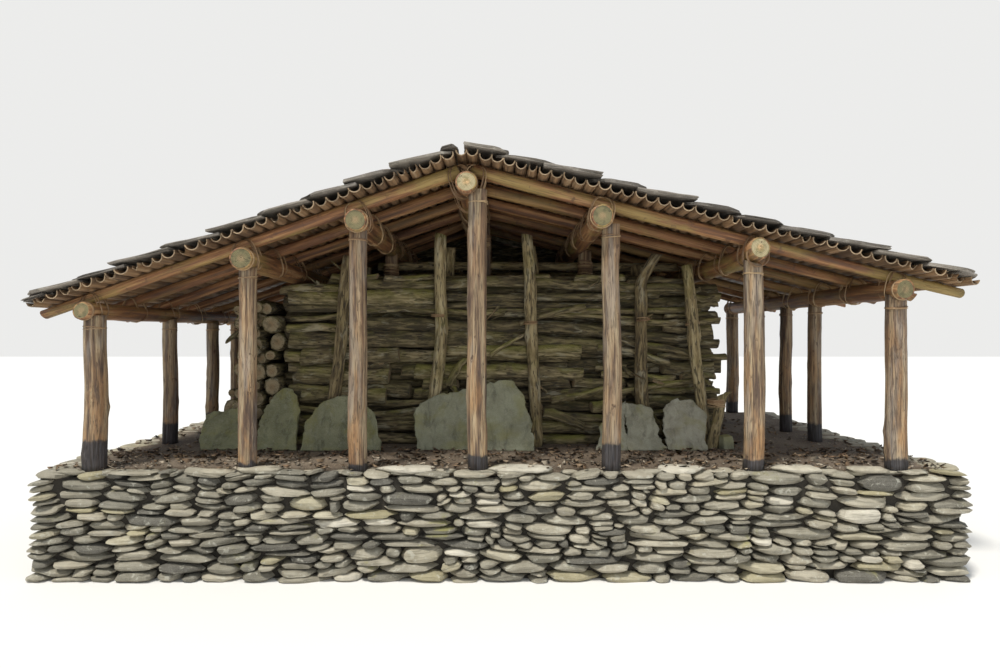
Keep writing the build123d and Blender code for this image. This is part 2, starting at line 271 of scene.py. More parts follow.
PATCHES = effect("patches", {"Vector": None, "Scale": 8.0, "Level": 0.5, "Softness": 0.06}, ["Mask"],
                 build_patches)
FIBRE = effect("wood fibre", {"Vector": None, "Across": 60.0, "Lengthwise": 3.0},
               ["Streaks", "Cracks", "Height"], build_fibre)
MOSS = effect("moss", {"Vector": None, "Scale": 6.0, "Amount": 0.5}, ["Mask"], build_moss)
GRIT = effect("grit", {"Vector": None, "Scale": 20.0}, ["Speckle", "Height"], build_grit)
RINGS = effect("growth rings", {"Vector": None, "Tightness": 600.0}, ["Rings", "Cracks", "Radius"],
               build_rings)
HEIGHT_FADE = effect("height fade", {"Low": 0.0, "High": 1.0, "Scale": 20.0, "Raggedness": 0.1}, ["Mask"],
                     build_height_fade)


# Finishes

def stone_finish(name, stops, moss_colour, moss_amount, bump, bedding_scale, lichen_share):
    """Stone in beds, with pale lichen, and moss on what faces up."""
    f = Finish(name)
    grain = f.grain()
    grit = f.use(GRIT, Vector=grain, Scale=26.0)
    bedding = f.noise(f.stretched(grain, bedding_scale), 1.0, 4, 0.6, 0.3)
    cloud = f.noise(grain, 7.0, 5, 0.6)
    f.colour = f.ramp(f.tone(), stops)
    f.cover(f.between(cloud, 0.3, 0.7, 0.0, 0.55), f.shaded((0.52, 0.50, 0.45)))
    f.cover(f.between(bedding, 0.50, 0.68, 0.0, 0.72), f.shaded((0.45, 0.44, 0.42)))
    f.tint(f.patches(grain, 17.0, 0.61, 0.04), lichen_share, (0.56, 0.55, 0.46))
    f.tint(grit["Speckle"], 0.16, (0.62, 0.60, 0.54))
    f.tint(f.use(MOSS, Vector=f.object_place(), Scale=3.4, Amount=moss_amount)["Mask"], 0.72, moss_colour)
    height = f.plus(grit["Height"], f.times(bedding, 1.2))
    return f.done(f.between(cloud, 0.3, 0.7, 0.78, 0.93), height, 0.9, bump)


def joint_earth_and_shade_finish():
    """The dark earth between the stones, darkened further as painted shadow."""
    f = Finish("earth and painted shade in the joints")
    grit = f.use(GRIT, Vector=f.object_place(), Scale=18.0)
    f.colour = f.blended(grit["Speckle"], (0.030, 0.026, 0.020), (0.051, 0.0442, 0.034))
    return f.done(0.95, grit["Height"], 0.8, 0.01)


def earth_finish():
    f = Finish("trodden earth")
    place = f.object_place()
    grit = f.use(GRIT, Vector=place, Scale=14.0)
    f.colour = f.ramp(f.noise(place, 1.6, 6, 0.65), [(0.3, (0.085, 0.062, 0.044)), (0.5, (0.16, 0.12, 0.085)),
                                                     (0.72, (0.27, 0.22, 0.165))])
    crumbs = f.patches(place, 55.0, 0.60, 0.03)
    f.tint(crumbs, 0.7, (0.36, 0.29, 0.20))
    f.tint(grit["Speckle"], 0.35, (0.05, 0.038, 0.027))
    return f.done(0.96, grit["Height"], 1.0, 0.02)


def post_finish():
    """Peeled trunks: grey and tan streaks with purple-brown ones, and charred feet."""
    f = Finish("weathered post")
    grain = f.grain()
    fibre = f.use(FIBRE, Vector=grain, Across=26.0, Lengthwise=1.3)
    fine = f.use(FIBRE, Vector=grain, Across=90.0, Lengthwise=3.5)
    f.colour = f.ramp(fibre["Streaks"], [(0.0, (0.070, 0.042, 0.029)), (0.28, (0.148, 0.095, 0.060)),
                                         (0.55, (0.27, 0.186, 0.107)), (1.0, (0.42, 0.325, 0.205))])
    warm = f.long_patches(grain, (7.0, 7.0, 2.0), 0.52, 0.10)
    low_down = f.use(HEIGHT_FADE, Low=1.2, High=2.5, Scale=3.0, Raggedness=0.5)["Mask"]
    f.tint(warm, f.plus(f.times(low_down, 0.45), 0.20), (0.42, 0.225, 0.090))
    grey = f.long_patches(grain, (9.0, 9.0, 1.2), 0.56, 0.08)
    f.tint(grey, 0.5, (0.30, 0.27, 0.23))
    knots = f.long_patches(grain, (16.0, 16.0, 9.0), 0.66, 0.03)
    f.tint(knots, 0.8, (0.085, 0.045, 0.028))
    f.cracks(fine["Cracks"], 0.62, (0.060, 0.040, 0.029))
    f.tint(f.tone(), 0.35, f.shaded((0.55, 0.50, 0.48)))
    burnt = f.plus(f.attribute("burnt", "Fac"), PLATFORM_TOP)
    char = f.use(HEIGHT_FADE, Low=f.plus(burnt, 0.04), High=f.plus(burnt, 0.075), Scale=16.0,
                 Raggedness=0.09)["Mask"]
    ash = f.ramp(fine["Streaks"], [(0.25, (0.010, 0.010, 0.013)), (0.9, (0.055, 0.055, 0.063))])
    f.tint(char, 0.93, ash)
    height = f.plus(f.times(fibre["Height"], 1.4), fine["Height"])
    return f.done(f.between(fibre["Streaks"], 0.0, 1.0, 0.66, 0.84), height, 0.9, 0.006)


def pole_finish():
    """Purlins and rafters: smoke-brown to orange, with olive-yellow where the bark came off late."""
    f = Finish("peeled pole")
    grain = f.grain()
    fibre = f.use(FIBRE, Vector=grain, Across=24.0, Lengthwise=1.0)
    fine = f.use(FIBRE, Vector=grain, Across=80.0, Lengthwise=3.0)
    f.colour = f.ramp(fibre["Streaks"], [(0.0, (0.085, 0.037, 0.019)), (0.4, (0.205, 0.091, 0.039)),
                                         (0.75, (0.325, 0.158, 0.065)), (1.0, (0.43, 0.25, 0.118))])
    olive = f.long_patches(grain, (6.0, 6.0, 1.1), 0.53, 0.08)
    f.tint(olive, f.plus(f.times(f.tone(), 0.7), 0.15), (0.30, 0.225, 0.070))
    f.tint(f.patches(grain, 11.0, 0.64, 0.05), 0.6, (0.085, 0.045, 0.030))
    f.cracks(fine["Cracks"], 0.45, (0.075, 0.038, 0.022))
    height = f.plus(fibre["Height"], f.times(fine["Height"], 0.6))
    return f.done(f.between(fibre["Streaks"], 0.0, 1.0, 0.50, 0.70), height, 0.7, 0.004)


def bark_finish(name, moss_amount, stops):
    """Bark with pale scars and open cracks. The paler a log's tone, the more moss it has."""
    f = Finish(name)
    grain = f.grain()
    tone = f.tone()
    fibre = f.use(FIBRE, Vector=grain, Across=30.0, Lengthwise=5.0)
    grit = f.use(GRIT, Vector=grain, Scale=30.0)
    f.colour = f.ramp(f.plus(f.times(fibre["Streaks"], 0.6), f.times(tone, 0.4)), stops)
    pale = f.long_patches(grain, (9.0, 9.0, 3.5), 0.60, 0.05)
    f.tint(pale, 0.5, (0.38, 0.35, 0.25))
    f.cracks(fibre["Cracks"], 0.8, (0.035, 0.028, 0.018))
    moss = f.use(MOSS, Vector=f.object_place(), Scale=2.3, Amount=moss_amount)["Mask"]
    mossy = f.blended(grit["Speckle"], (0.15, 0.145, 0.030), (0.31, 0.29, 0.060))
    share = f.plus(f.times(tone, 1.1), 0.12, True)
    f.tint(moss, f.times(share, 0.85), mossy)
    return f.done(0.9, f.plus(f.times(fibre["Height"], 1.3), grit["Height"]), 1.0, 0.008)


def cut_end_finish(name, heart, sapwood, rim):
    """Sawn ends with growth rings and drying cracks, darker towards the rim."""
    f = Finish(name)
    grain = f.grain()
    rings = f.use(RINGS, Vector=grain, Tightness=560.0)
    f.colour = f.blended(f.between(rings["Radius"], 0.012, 0.045), heart, sapwood)
    f.tint(rings["Rings"], 0.65, f.shaded((0.50, 0.40, 0.28)))
    f.tint(f.patches(grain, 22.0, 0.56, 0.08), 0.6, rim)
    f.cover(f.between(rings["Radius"], 0.066, 0.082, 0.0, 0.8), rim)
    f.cover(f.minus(1.0, rings["Cracks"]), (0.05, 0.035, 0.02))
    return f.done(0.8, f.plus(rings["Rings"], rings["Cracks"]), 0.5, 0.002)


def culm_finish():
    """Dry split bamboo: brown with pale and grey fibres."""
    f = Finish("split culm")
    grain = f.grain()
    fibre = f.use(FIBRE, Vector=grain, Across=55.0, Lengthwise=1.2)
    mixed = f.plus(f.times(fibre["Streaks"], 0.5), f.times(f.tone(), 0.5))
    f.colour = f.ramp(mixed, [(0.1, (0.095, 0.060, 0.038)), (0.4, (0.20, 0.125, 0.070)),
                              (0.7, (0.33, 0.20, 0.105)), (0.95, (0.42, 0.30, 0.18))])
    f.tint(f.long_patches(grain, (12.0, 12.0, 2.5), 0.55, 0.08), 0.55, (0.075, 0.050, 0.036))
    return f.done(f.between(fibre["Streaks"], 0.0, 1.0, 0.5, 0.68), fibre["Height"], 0.6, 0.002)


def rattan_finish():
    f = Finish("rattan")
    cloud = f.noise(f.grain(), 60.0, 4, 0.6)
    mixed = f.plus(f.times(cloud, 0.5), f.times(f.tone(), 0.5))
    f.colour = f.ramp(mixed, [(0.2, (0.13, 0.075, 0.040)), (0.5, (0.30, 0.185, 0.095)),
                              (0.8, (0.47, 0.34, 0.19))])
    return f.done(0.55, cloud, 0.5, 0.002)


def litter_finish():
    """Dead leaves and wood chips, each with a colour of its own."""
    f = Finish("dead leaves and chips")
    cloud = f.noise(f.grain(), 90.0, 3)
    f.colour = f.ramp(f.tone(), [(0.0, (0.085, 0.050, 0.030)), (0.35, (0.22, 0.135, 0.075)),
                                 (0.7, (0.36, 0.255, 0.155)), (1.0, (0.62, 0.54, 0.42))])
    f.tint(cloud, 0.5, (0.10, 0.07, 0.045))
    return f.done(0.8)


WALL_STONE = stone_finish(
    "river slate",
    [(0.0, (0.115, 0.107, 0.086)), (0.22, (0.225, 0.208, 0.160)), (0.5, (0.355, 0.325, 0.250)),
     (0.75, (0.47, 0.425, 0.325)), (0.9, (0.38, 0.335, 0.19)), (1.0, (0.64, 0.595, 0.49))],
    moss_colour=(0.25, 0.235, 0.070), moss_amount=0.46, bump=0.014, bedding_scale=(5.0, 5.0, 60.0),
    lichen_share=0.45)
ROOF_SLATE = stone_finish(
    "roof slate",
    [(0.0, (0.095, 0.082, 0.070)), (0.35, (0.165, 0.142, 0.120)), (0.7, (0.25, 0.218, 0.182)),
     (1.0, (0.38, 0.345, 0.29))],
    moss_colour=(0.16, 0.155, 0.06), moss_amount=0.40, bump=0.005, bedding_scale=(5.0, 5.0, 160.0),
    lichen_share=0.16)
# The darkest, olive stop colours the leftmost slabs: olive is their own colour, and their darkness is partly
# painted shade.
SLAB_SLATE = stone_finish(
    "leaning slate",
    [(0.0, (0.235, 0.240, 0.125)), (0.5, (0.315, 0.318, 0.215)), (1.0, (0.390, 0.372, 0.285))],
    moss_colour=(0.255, 0.235, 0.065), moss_amount=0.72, bump=0.018, bedding_scale=(13.0, 13.0, 2.2),
    lichen_share=0.12)
JOINT_EARTH_AND_SHADE = joint_earth_and_shade_finish()
EARTH = earth_finish()
POST_WOOD = post_finish()
POLE_WOOD = pole_finish()
LOG_BARK = bark_finish("log bark", 0.92, [(0.1, (0.044, 0.034, 0.018)), (0.45, (0.132, 0.103, 0.052)),
                                          (0.75, (0.245, 0.195, 0.104)), (1.0, (0.39, 0.315, 0.180))])
STAKE_BARK = bark_finish("stake bark", 0.70, [(0.1, (0.090, 0.064, 0.032)), (0.45, (0.22, 0.165, 0.080)),
                                              (0.8, (0.36, 0.285, 0.150)), (1.0, (0.46, 0.38, 0.22))])
PURLIN_END = cut_end_finish("purlin end", (0.62, 0.42, 0.22), (0.44, 0.38, 0.23), (0.13, 0.125, 0.045))
OLD_END = cut_end_finish("old purlin end", (0.30, 0.225, 0.12), (0.195, 0.175, 0.088), (0.070, 0.065, 0.030))
LOG_END = cut_end_finish("log end", (0.28, 0.20, 0.11), (0.30, 0.245, 0.15), (0.10, 0.085, 0.05))
CULM = culm_finish()
CULM_EDGE = cut_end_finish("culm edge", (0.36, 0.27, 0.17), (0.38, 0.285, 0.18), (0.16, 0.11, 0.070))
RATTAN = rattan_finish()
LITTER = litter_finish()


# Blanks: shapes that are copied and bent into every stone, pole, culm and plate

STRAND_SECTION = 0.25


def blank(name, build):
    bm = bmesh.new()
    build(bm)
    mesh = bpy.data.meshes.new(name)
    bm.to_mesh(mesh)
    bm.free()
    return mesh


def cut_along(bm, axis, cuts):
    """Divides the edges that run along one axis."""
    chosen = [e for e in bm.edges if abs((e.verts[0].co - e.verts[1].co).normalized()[axis]) > 0.99]
    bmesh.ops.subdivide_edges(bm, edges=chosen, cuts=cuts, use_grid_fill=True)


def block_builder(*cuts):
    """A block from -1 to 1, with its edges along X, Y and Z cut as often as cuts says."""
    def build(bm):
        bmesh.ops.create_cube(bm, size=2.0)
        for axis, count in enumerate(cuts):
            cut_along(bm, axis, count)
    return build


def pole_builder(sides, rings):
    """A pole of radius 1 from z = 0 to z = 1. Inside a rim of bark, its ends have a second material."""
    bark_rim = 0.13
    inner_ring = 0.35

    def build(bm):
        bmesh.ops.create_cone(bm, cap_ends=True, segments=sides, radius1=1.0, radius2=1.0, depth=1.0)
        bmesh.ops.translate(bm, verts=bm.verts[:], vec=(0, 0, 0.5))
        cut_along(bm, 2, rings)
        ends = [f for f in bm.faces if abs(f.normal.z) > 0.9]
        for face in ends:
            face.material_index = 1
        rims = bmesh.ops.inset_individual(bm, faces=ends, thickness=bark_rim)["faces"]
        for face in rims:
            face.material_index = 0
        bmesh.ops.inset_individual(bm, faces=ends, thickness=inner_ring)
    return build


@cache
def pole_blank(sides, rings):
    return blank("pole blank", pole_builder(sides, rings))


def build_culm_blank(bm):
    """Half a tube of radius 1 from z = 0 to z = 1, open towards +Y."""
    bmesh.ops.create_cone(bm, cap_ends=False, segments=14, radius1=1.0, radius2=1.0, depth=1.0)
    bmesh.ops.translate(bm, verts=bm.verts[:], vec=(0, 0, 0.5))
    cut_along(bm, 2, 15)
    everything = bm.verts[:] + bm.edges[:] + bm.faces[:]
    bmesh.ops.bisect_plane(bm, geom=everything, plane_co=(0, 0, 0), plane_no=(0, 1, 0), clear_outer=True)
    bmesh.ops.recalc_face_normals(bm, faces=bm.faces[:])
    bmesh.ops.solidify(bm, geom=bm.faces[:], thickness=0.17)
    bmesh.ops.recalc_face_normals(bm, faces=bm.faces[:])
    for face in bm.faces:
        if abs(face.normal.z) > 0.9 or face.normal.y > 0.9:
            face.material_index = 1


def build_strand_blank(bm):
    """A ring of radius 1 with a thin four-sided section."""
    bmesh.ops.create_circle(bm, cap_ends=False, segments=4, radius=STRAND_SECTION)
    bmesh.ops.rotate(bm, verts=bm.verts[:], cent=(0, 0, 0), matrix=Matrix.Rotation(math.pi / 2, 3, "X"))
    bmesh.ops.translate(bm, verts=bm.verts[:], vec=(1, 0, 0))
    bmesh.ops.spin(bm, geom=bm.verts[:] + bm.edges[:], cent=(0, 0, 0), axis=(0, 0, 1), angle=math.tau,
                   steps=20, use_merge=True)
    bmesh.ops.recalc_face_normals(bm, faces=bm.faces[:])


def build_leaf_blank(bm):
    """A low closed flake, 2 wide and 1 high."""
    bmesh.ops.create_cone(bm, cap_ends=True, segments=5, radius1=1.0, radius2=0.0, depth=1.0)


STONE_BLANK = blank("stone blank", block_builder(4, 1, 2))
PLATE_BLANK = blank("plate blank", block_builder(5, 4, 2))
CULM_BLANK = blank("culm blank", build_culm_blank)
STRAND_BLANK = blank("strand blank", build_strand_blank)
LEAF_BLANK = blank("leaf blank", build_leaf_blank)


# Meshes and pieces

def start_mesh(*more_values):
    """A mesh whose points carry their place in their own stone or pole, and that one's tone."""
    bm = bmesh.new()
    bm.verts.layers.float_vector.new("grain")
    for name in ("tone", *more_values):
        bm.verts.layers.float.new(name)
    return bm


def add_copy(bm, blank_mesh):
    """Adds a copy of a blank and gives its points."""
    first = len(bm.verts)
    bm.from_mesh(blank_mesh, face_normals=False, vertex_normals=False)
    bm.verts.ensure_lookup_table()
    return bm.verts[first:]


def mark(bm, vert, grain, tone):
    vert[bm.verts.layers.float_vector["grain"]] = grain
    vert[bm.verts.layers.float["tone"]] = tone


def make_piece(bm, name, finishes, replaced=(), sharp_angle=None):
    mesh = bpy.data.meshes.new(name)
    bmesh.ops.recalc_face_normals(bm, faces=bm.faces[:])
    bm.to_mesh(mesh)
    bm.free()
    for finish in finishes:
        mesh.materials.append(finish)
    mesh.shade_smooth()
    if sharp_angle is not None:
        mesh.set_sharp_from_angle(angle=math.radians(sharp_angle))
    piece = bpy.data.objects.new(name, mesh)
    scene.collection.objects.link(piece)
    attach(piece, "root")
    if replaced:
        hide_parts(*replaced)


def random_place(rng):
    """A place of its own in the noise."""
    return Vector((rng.uniform(0, 90), rng.uniform(0, 90), rng.uniform(0, 90)))


def turned(turn, *steps):
    """The turn with more rotations after it, each given as its angle and axis."""
    for angle, axis in steps:
        turn = turn @ Matrix.Rotation(angle, 3, axis)
    return turn


def within_one(value):
    return min(1.0, max(0.0, value))


# Reading the frame

class PurlinLine(NamedTuple):
    middle: Vector
    radius: float
    front_y: float
    rear_y: float


def purlin_line(name):
    low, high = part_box(name)
    return PurlinLine((low + high) / 2, (high.x - low.x) / 2, low.y, high.y)


def centre_of(points):
    return sum(points, Vector()) / len(points)


def solids_in(node):
    """The points of each solid in a CAD node, from left to right and front to back."""
    bm = bmesh.new()
    bm.from_mesh(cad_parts[node].data)
    bmesh.ops.remove_doubles(bm, verts=bm.verts[:], dist=1e-5)
    seen = set()
    solids = []
    for vert in bm.verts:
        if vert in seen:
            continue
        seen.add(vert)
        group = []
        ahead = [vert]
        while ahead:
            here = ahead.pop()
            group.append(here.co.copy())
            for edge in here.link_edges:
                other = edge.other_vert(here)
                if other not in seen:
                    seen.add(other)
                    ahead.append(other)
        solids.append(group)
    bm.free()
    return sorted(solids, key=lambda points: tuple(round(c, 3) for c in centre_of(points)))


def ends_of(points):
    """The middle and the radius of a solid's lowest and highest ring of points."""
    result = []
    for height in (min(p.z for p in points), max(p.z for p in points)):
        ring = [p for p in points if abs(p.z - height) < 0.002]
        middle = centre_of(ring)
        result.append((middle, max((p - middle).length for p in ring)))
    return result


# Poles of every kind

class Growth(NamedTuple):
    """How a pole has grown and been cut.

    In metres, bend is how far its line strays, and saw how far its ends are cut aslant. lumps, oval and
    knot_size are shares of its radius.
    """

    sides: int = 12
    rings: int = 14
    bend: float = 0.008
    lumps: float = 0.05
    oval: float = 0.04
    knots: int = 2
    knot_size: float = 0.18
    saw: float = 0.02


def strayed(pulls, t):
    """How far a line strays at t, by waves that are all 0 at its two ends."""
    return sum(pull * math.sin(math.pi * k * t) / k for k, pull in enumerate(pulls, 1))


def add_pole(bm, foot, head, foot_radius, head_radius, rng, growth, shift=None, tone=None):
    """A pole from foot to head, moved aside by shift(t) at t. Gives its points."""
    axis = head - foot
    length = axis.length
    turn = axis.to_track_quat("Z", "Y").to_matrix()
    place = random_place(rng)
    sway_x, sway_y = zip(*[(rng.uniform(-1, 1), rng.uniform(-1, 1)) for _ in range(3)])
    slants = [(rng.uniform(-growth.saw, growth.saw), rng.uniform(-growth.saw, growth.saw)) for _ in range(2)]
    bulges = [(rng.uniform(0.1, 0.95), rng.uniform(0, math.tau), rng.uniform(0.5, 1.0))
              for _ in range(growth.knots)]
    widest = rng.uniform(0, math.tau)
    tone = rng.random() if tone is None else tone
    points = add_copy(bm, pole_blank(growth.sides, growth.rings))
    for v in points:
        x, y, t = v.co
        angle = math.atan2(y, x)
        along = t * length
        radius = foot_radius + (head_radius - foot_radius) * t
        knot_length = max(radius * 0.55, length / growth.rings * 0.8)

        # Long lumps, short ones, the oval section and the knots
        swell = growth.lumps * 1.6 * noise.noise(place + Vector((x, y, along * 2.2)))
        swell += growth.lumps * noise.noise(place + Vector((x * 2.5, y * 2.5, along * 6.0)))
        swell += growth.oval * math.cos(2 * (angle - widest))
        for where, side, size in bulges:
            near = math.exp(-((along - where * length) / knot_length) ** 2)
            swell += growth.knot_size * size * near * max(0.0, math.cos(angle - side)) ** 3
        radius *= 1 + swell

        if t < 0.001 or t > 0.999:
            slant_x, slant_y = slants[round(t)]
            along += x * slant_x + y * slant_y
        off_x = strayed(sway_x, t) * growth.bend
        off_y = strayed(sway_y, t) * growth.bend
        local = Vector((x * radius + off_x, y * radius + off_y, along))
        v.co = foot + turn @ local + (shift(t) if shift else Vector())
        mark(bm, v, Vector((x * radius, y * radius, along + place.x)), tone)
    return points


def add_loop(bm, middle, u, v_axis, half_u, half_v, strand, rng, power):
    """One turn of rattan round a section with half sizes half_u and half_v, an ellipse at power 2."""
    w = u.cross(v_axis).normalized()
    place = random_place(rng)
    tone = rng.random()
    for v in add_copy(bm, STRAND_BLANK):
        angle = math.atan2(v.co.y, v.co.x)
        out = (math.hypot(v.co.x, v.co.y) - 1) / STRAND_SECTION
        up = v.co.z / STRAND_SECTION
        c = math.cos(angle)
        s = math.sin(angle)
        reach = (abs(c) ** power + abs(s) ** power) ** (-1 / power)
        stray = strand * 0.7 * noise.noise(place + Vector((c, s, 0)) * 1.6)
        spoke = u * c * half_u + v_axis * s * half_v
        v.co = middle + spoke * reach + spoke.normalized() * (out * strand) + w * (up * strand + stray)
        mark(bm, v, Vector((angle * half_u, out * strand, up * strand)) + place, tone)


def add_winding(bm, middle, axis, radius, turns, strand, rng, tilt):
    """Turns of rattan side by side round one pole."""
    u = axis.orthogonal().normalized()
    side = axis.cross(u).normalized()
    around = radius + strand * 0.4
    for k in range(turns):
        lean = axis * rng.uniform(-tilt, tilt)
        where = middle + axis * ((k - (turns - 1) / 2) * strand * 2.1)
        add_loop(bm, where, (u + lean).normalized(), side, around, around, strand, rng, 2.0)


# Dry-stone walls

# Flags that show on the front rim: x, half width, half depth and tone
FRONT_FLAGS = (
    (-0.78, 0.25, 0.11, 1.0),
    (0.17, 0.27, 0.15, 1.0),
    (1.51, 0.21, 0.12, 1.0),
    (-2.0, 0.2, 0.1, 0.7),
    (2.45, 0.22, 0.12, 0.98),
    (3.05, 0.19, 0.10, 0.75),
)


def add_stone(bm, middle, half, turn, rng, tone, roundness):
    """A flat river stone: a block drawn towards an egg shape, with broken facets and thinner ends."""
    place = random_place(rng)
    power = 5.0 - 2.6 * roundness
    bend = rng.uniform(-0.22, 0.22)
    thinner = (rng.uniform(0.10, 0.68), rng.uniform(0.10, 0.68))
    facets = []
    for _ in range(4):
        angle = rng.uniform(0, math.tau)
        facing = Vector((math.cos(angle), math.sin(angle), rng.uniform(-0.5, 0.5))).normalized()
        facets.append((facing, rng.uniform(0.72, 0.98)))
    for v in add_copy(bm, STONE_BLANK):
        p = v.co
        q = p / (abs(p.x) ** power + abs(p.y) ** power + abs(p.z) ** power) ** (1 / power)
        n = p.normalized()
        q += n * (0.13 * noise.noise(place + n * 1.3) + 0.07 * noise.noise(place + n * 3.3))
        for facing, distance in facets:
            over = q.dot(facing) - distance
            if over > 0:
                q -= facing * over
        q.z *= 1 - thinner[q.x > 0] * min(1.0, abs(q.x)) ** 3
        q.z += bend * (q.x * q.x - 0.4)
        local = Vector((q.x * half.x, q.y * half.y, q.z * half.z))
        v.co = middle + turn @ local
        mark(bm, v, local + place, tone)


def stone_cells(rng, room):
    """How many cells of a gap a stone takes, so that no sliver of the gap stays free."""
    sliver = 5
    longest = 25
    wanted = rng.choice((rng.randint(7, 11), rng.randint(12, 18), rng.randint(16, longest)))
    cells = room if room - wanted < sliver else wanted
    return cells // 2 if cells > longest else cells


def lay_stones(rng, length, height):
    """Packs flat stones from the lowest place up. Gives (start, width, underside, thickness, slope)."""
    cell = 0.02
    fewest_cells = 3
    level_enough = 0.030
    thinnest = 0.028
    boulder_share = 0.05
    flush_share = 0.75
    count = round(length / cell)
    sky = []
    while len(sky) < count:
        level = rng.uniform(-0.014, 0.002)
        sky += [level] * rng.randint(9, 22)
    del sky[count:]

    stones = []
    while min(sky) < height - thinnest:
        low = min(sky)
        first = last = sky.index(low)
        while first > 0 and sky[first - 1] <= low + level_enough:
            first -= 1
        while last < count and sky[last] <= low + level_enough:
            last += 1
        sides = [sky[i] for i in (first - 1, last) if 0 <= i < count]
        if last - first < fewest_cells:
            sky[first:last] = [min(sides)] * (last - first)
            continue
        cells = stone_cells(rng, last - first)
        if rng.random() < 0.5:
            first = last - cells
        width = cells * cell
        under = sky[first:first + cells]
        half = cells // 2
        slope = (sum(under[-half:]) - sum(under[:half])) / half / (width / 2)
        rest = sum(under) / cells
        thick = rng.uniform(0.040, 0.080) * (0.70 + 1.1 * min(width, 0.42))
        if rng.random() < boulder_share and width > 0.28:
            thick = rng.uniform(0.11, 0.14)
        steps_up = [s - rest for s in sides if 0.7 * thick < s - rest < 1.6 * thick]
        if steps_up and rng.random() < flush_share:
            thick = rng.choice(steps_up) + rng.uniform(-0.006, 0.006)
        thick = max(thinnest, min(thick, height + rng.uniform(0.0, 0.012) - rest))
        if cells > fewest_cells:
            slope += rng.uniform(-0.03, 0.03)
        stones.append((first * cell, width, rest, thick, slope))
        for j in range(first, first + cells):
            sky[j] = max(sky[j] + 0.01, rest + thick + slope * ((j - first + 0.5) * cell - width / 2))
    return stones


def stone_wall(name, start, run, outward, length, seed):
    """A wall of loose stones along run from start, with its face towards outward."""
    rng = random.Random(seed)
    bm = start_mesh()
    angle = math.atan2(run.y, run.x)
    for offset, width, low, thick, slope in lay_stones(rng, length, PLATFORM_TOP):
        depth = rng.uniform(0.19, 0.27)
        if offset < 0.02 or offset + width > length - 0.02:
            depth = STONE_WALL_THICKNESS
        proud = rng.uniform(-0.012, 0.022)
        batter = STONE_BATTER * (1 - (low + thick / 2) / PLATFORM_TOP)
        middle = start + run * (offset + width / 2) + outward * (batter + proud - depth / 2)
        middle.z = low + thick / 2
        turn = turned(UNTURNED, (angle, "Z"), (-math.atan(slope), "Y"), (rng.uniform(-0.05, 0.05), "Z"),
                      (rng.uniform(-0.07, 0.07), "X"))
        half = Vector((width / 2 * 1.02, depth / 2, thick / 2 * 1.03))
        # On the front wall the mean tone rises from left to right: the darker stones at the left end are
        # painted shade of a cast shadow.
        usual_tone = 0.40 + 0.16 * (offset / length if outward.y < 0 else 0.5)
        tone = within_one(rng.gauss(usual_tone, 0.27))
        add_stone(bm, middle, half, turn, rng, tone, rng.uniform(0.4, 1.0))
    add_wall_core(bm, start, run, outward, length)
    make_piece(bm, name + "_stones", [WALL_STONE, JOINT_EARTH_AND_SHADE], [name], 40)


def add_wall_core(bm, start, run, outward, length):
    """The dark block that closes the joints, behind the stones' faces: earth, with painted shade in its
    near-black colour.
    """
    behind_face = 0.085
    below_top = 0.05
    short_of_ends = 0.16
    core_depth = STONE_WALL_THICKNESS - behind_face
    core = bmesh.ops.create_cube(bm, size=1.0)["verts"]
    for v in core:
        x, y, z = v.co
        behind = behind_face + core_depth / 2 - y * core_depth
        place = start + run * (length / 2 + x * (length - short_of_ends)) - outward * behind
        v.co = Vector((place.x, place.y, (z + 0.5) * (PLATFORM_TOP - below_top)))
    for face in {f for v in core for f in v.link_faces}:
        face.material_index = 1


def platform_walls():
    """The long walls run past the corners a little, and the side walls stand between them."""
    past = 0.03
    lap = 0.06
    low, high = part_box("earth_platform")
    half_x = high.x + STONE_WALL_THICKNESS
    half_y = high.y + STONE_WALL_THICKNESS
    long = 2 * half_x + 2 * past
    short = high.y - low.y + 2 * lap
    stone_wall("front_stone_wall", Vector((-half_x - past, -half_y, 0)), ACROSS, -ALONG, long, 21)
    stone_wall("rear_stone_wall", Vector((-half_x - past, half_y, 0)), ACROSS, ALONG, long, 34)
    stone_wall("left_stone_wall", Vector((-half_x, low.y - lap, 0)), ALONG, -ACROSS, short, 55)
    stone_wall("right_stone_wall", Vector((half_x, low.y - lap, 0)), ALONG, ACROSS, short, 89)


def rim_stones():
    """Flat pale slabs and flags along the platform's rim, over the walls' top course."""
    rng = random.Random("rim")
    bm = start_mesh()
    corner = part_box("earth_platform")[1]
    rim_x = corner.x + STONE_WALL_THICKNESS
    rim_y = corner.y + STONE_WALL_THICKNESS
    for x, half_x, half_y, tone in FRONT_FLAGS:
        middle = Vector((x, -rim_y + half_y + 0.015, PLATFORM_TOP + 0.012))
        turn = turned(UNTURNED, (rng.uniform(-0.1, 0.1), "Z"), (rng.uniform(-0.02, 0.03), "X"))
        add_stone(bm, middle, Vector((half_x, half_y, 0.026)), turn, rng, tone, 0.45)
    for side in (-1, 1):
        for along_x, reach, across in ((True, rim_x, rim_y), (False, rim_y, rim_x)):
            at = -reach + 0.12
            while at < reach - 0.32:
                size = rng.uniform(0.10, 0.19)
                at += size
                aside = side * (across - rng.uniform(0.12, 0.24))
                broad = rng.uniform(0.09, 0.15) if along_x else rng.uniform(0.13, 0.21)
                half = Vector((size * 1.02, broad, rng.uniform(0.018, 0.030)))
                turn = turned(UNTURNED, (0 if along_x else math.pi / 2, "Z"), (rng.uniform(-0.5, 0.5), "Z"),
                              (rng.uniform(-0.05, 0.05), "X"))
                lift = PLATFORM_TOP - rng.uniform(0.006, 0.018) + (0.0 if along_x else 0.014)
                middle = Vector((at, aside, lift)) if along_x else Vector((aside, at, lift))
                add_stone(bm, middle, half, turn, rng, rng.uniform(0.35, 0.82), 0.6)
                at += size
    make_piece(bm, "rim_stones", [WALL_STONE])


# Earth and litter

def ground_height(x, y):
    """How high the loose crust lies over the platform's top."""
    p = Vector((x, y, 0))
    return max(0.002, 0.016 + 0.016 * noise.noise(p * 1.3) + 0.007 * noise.noise(p * 6.0))


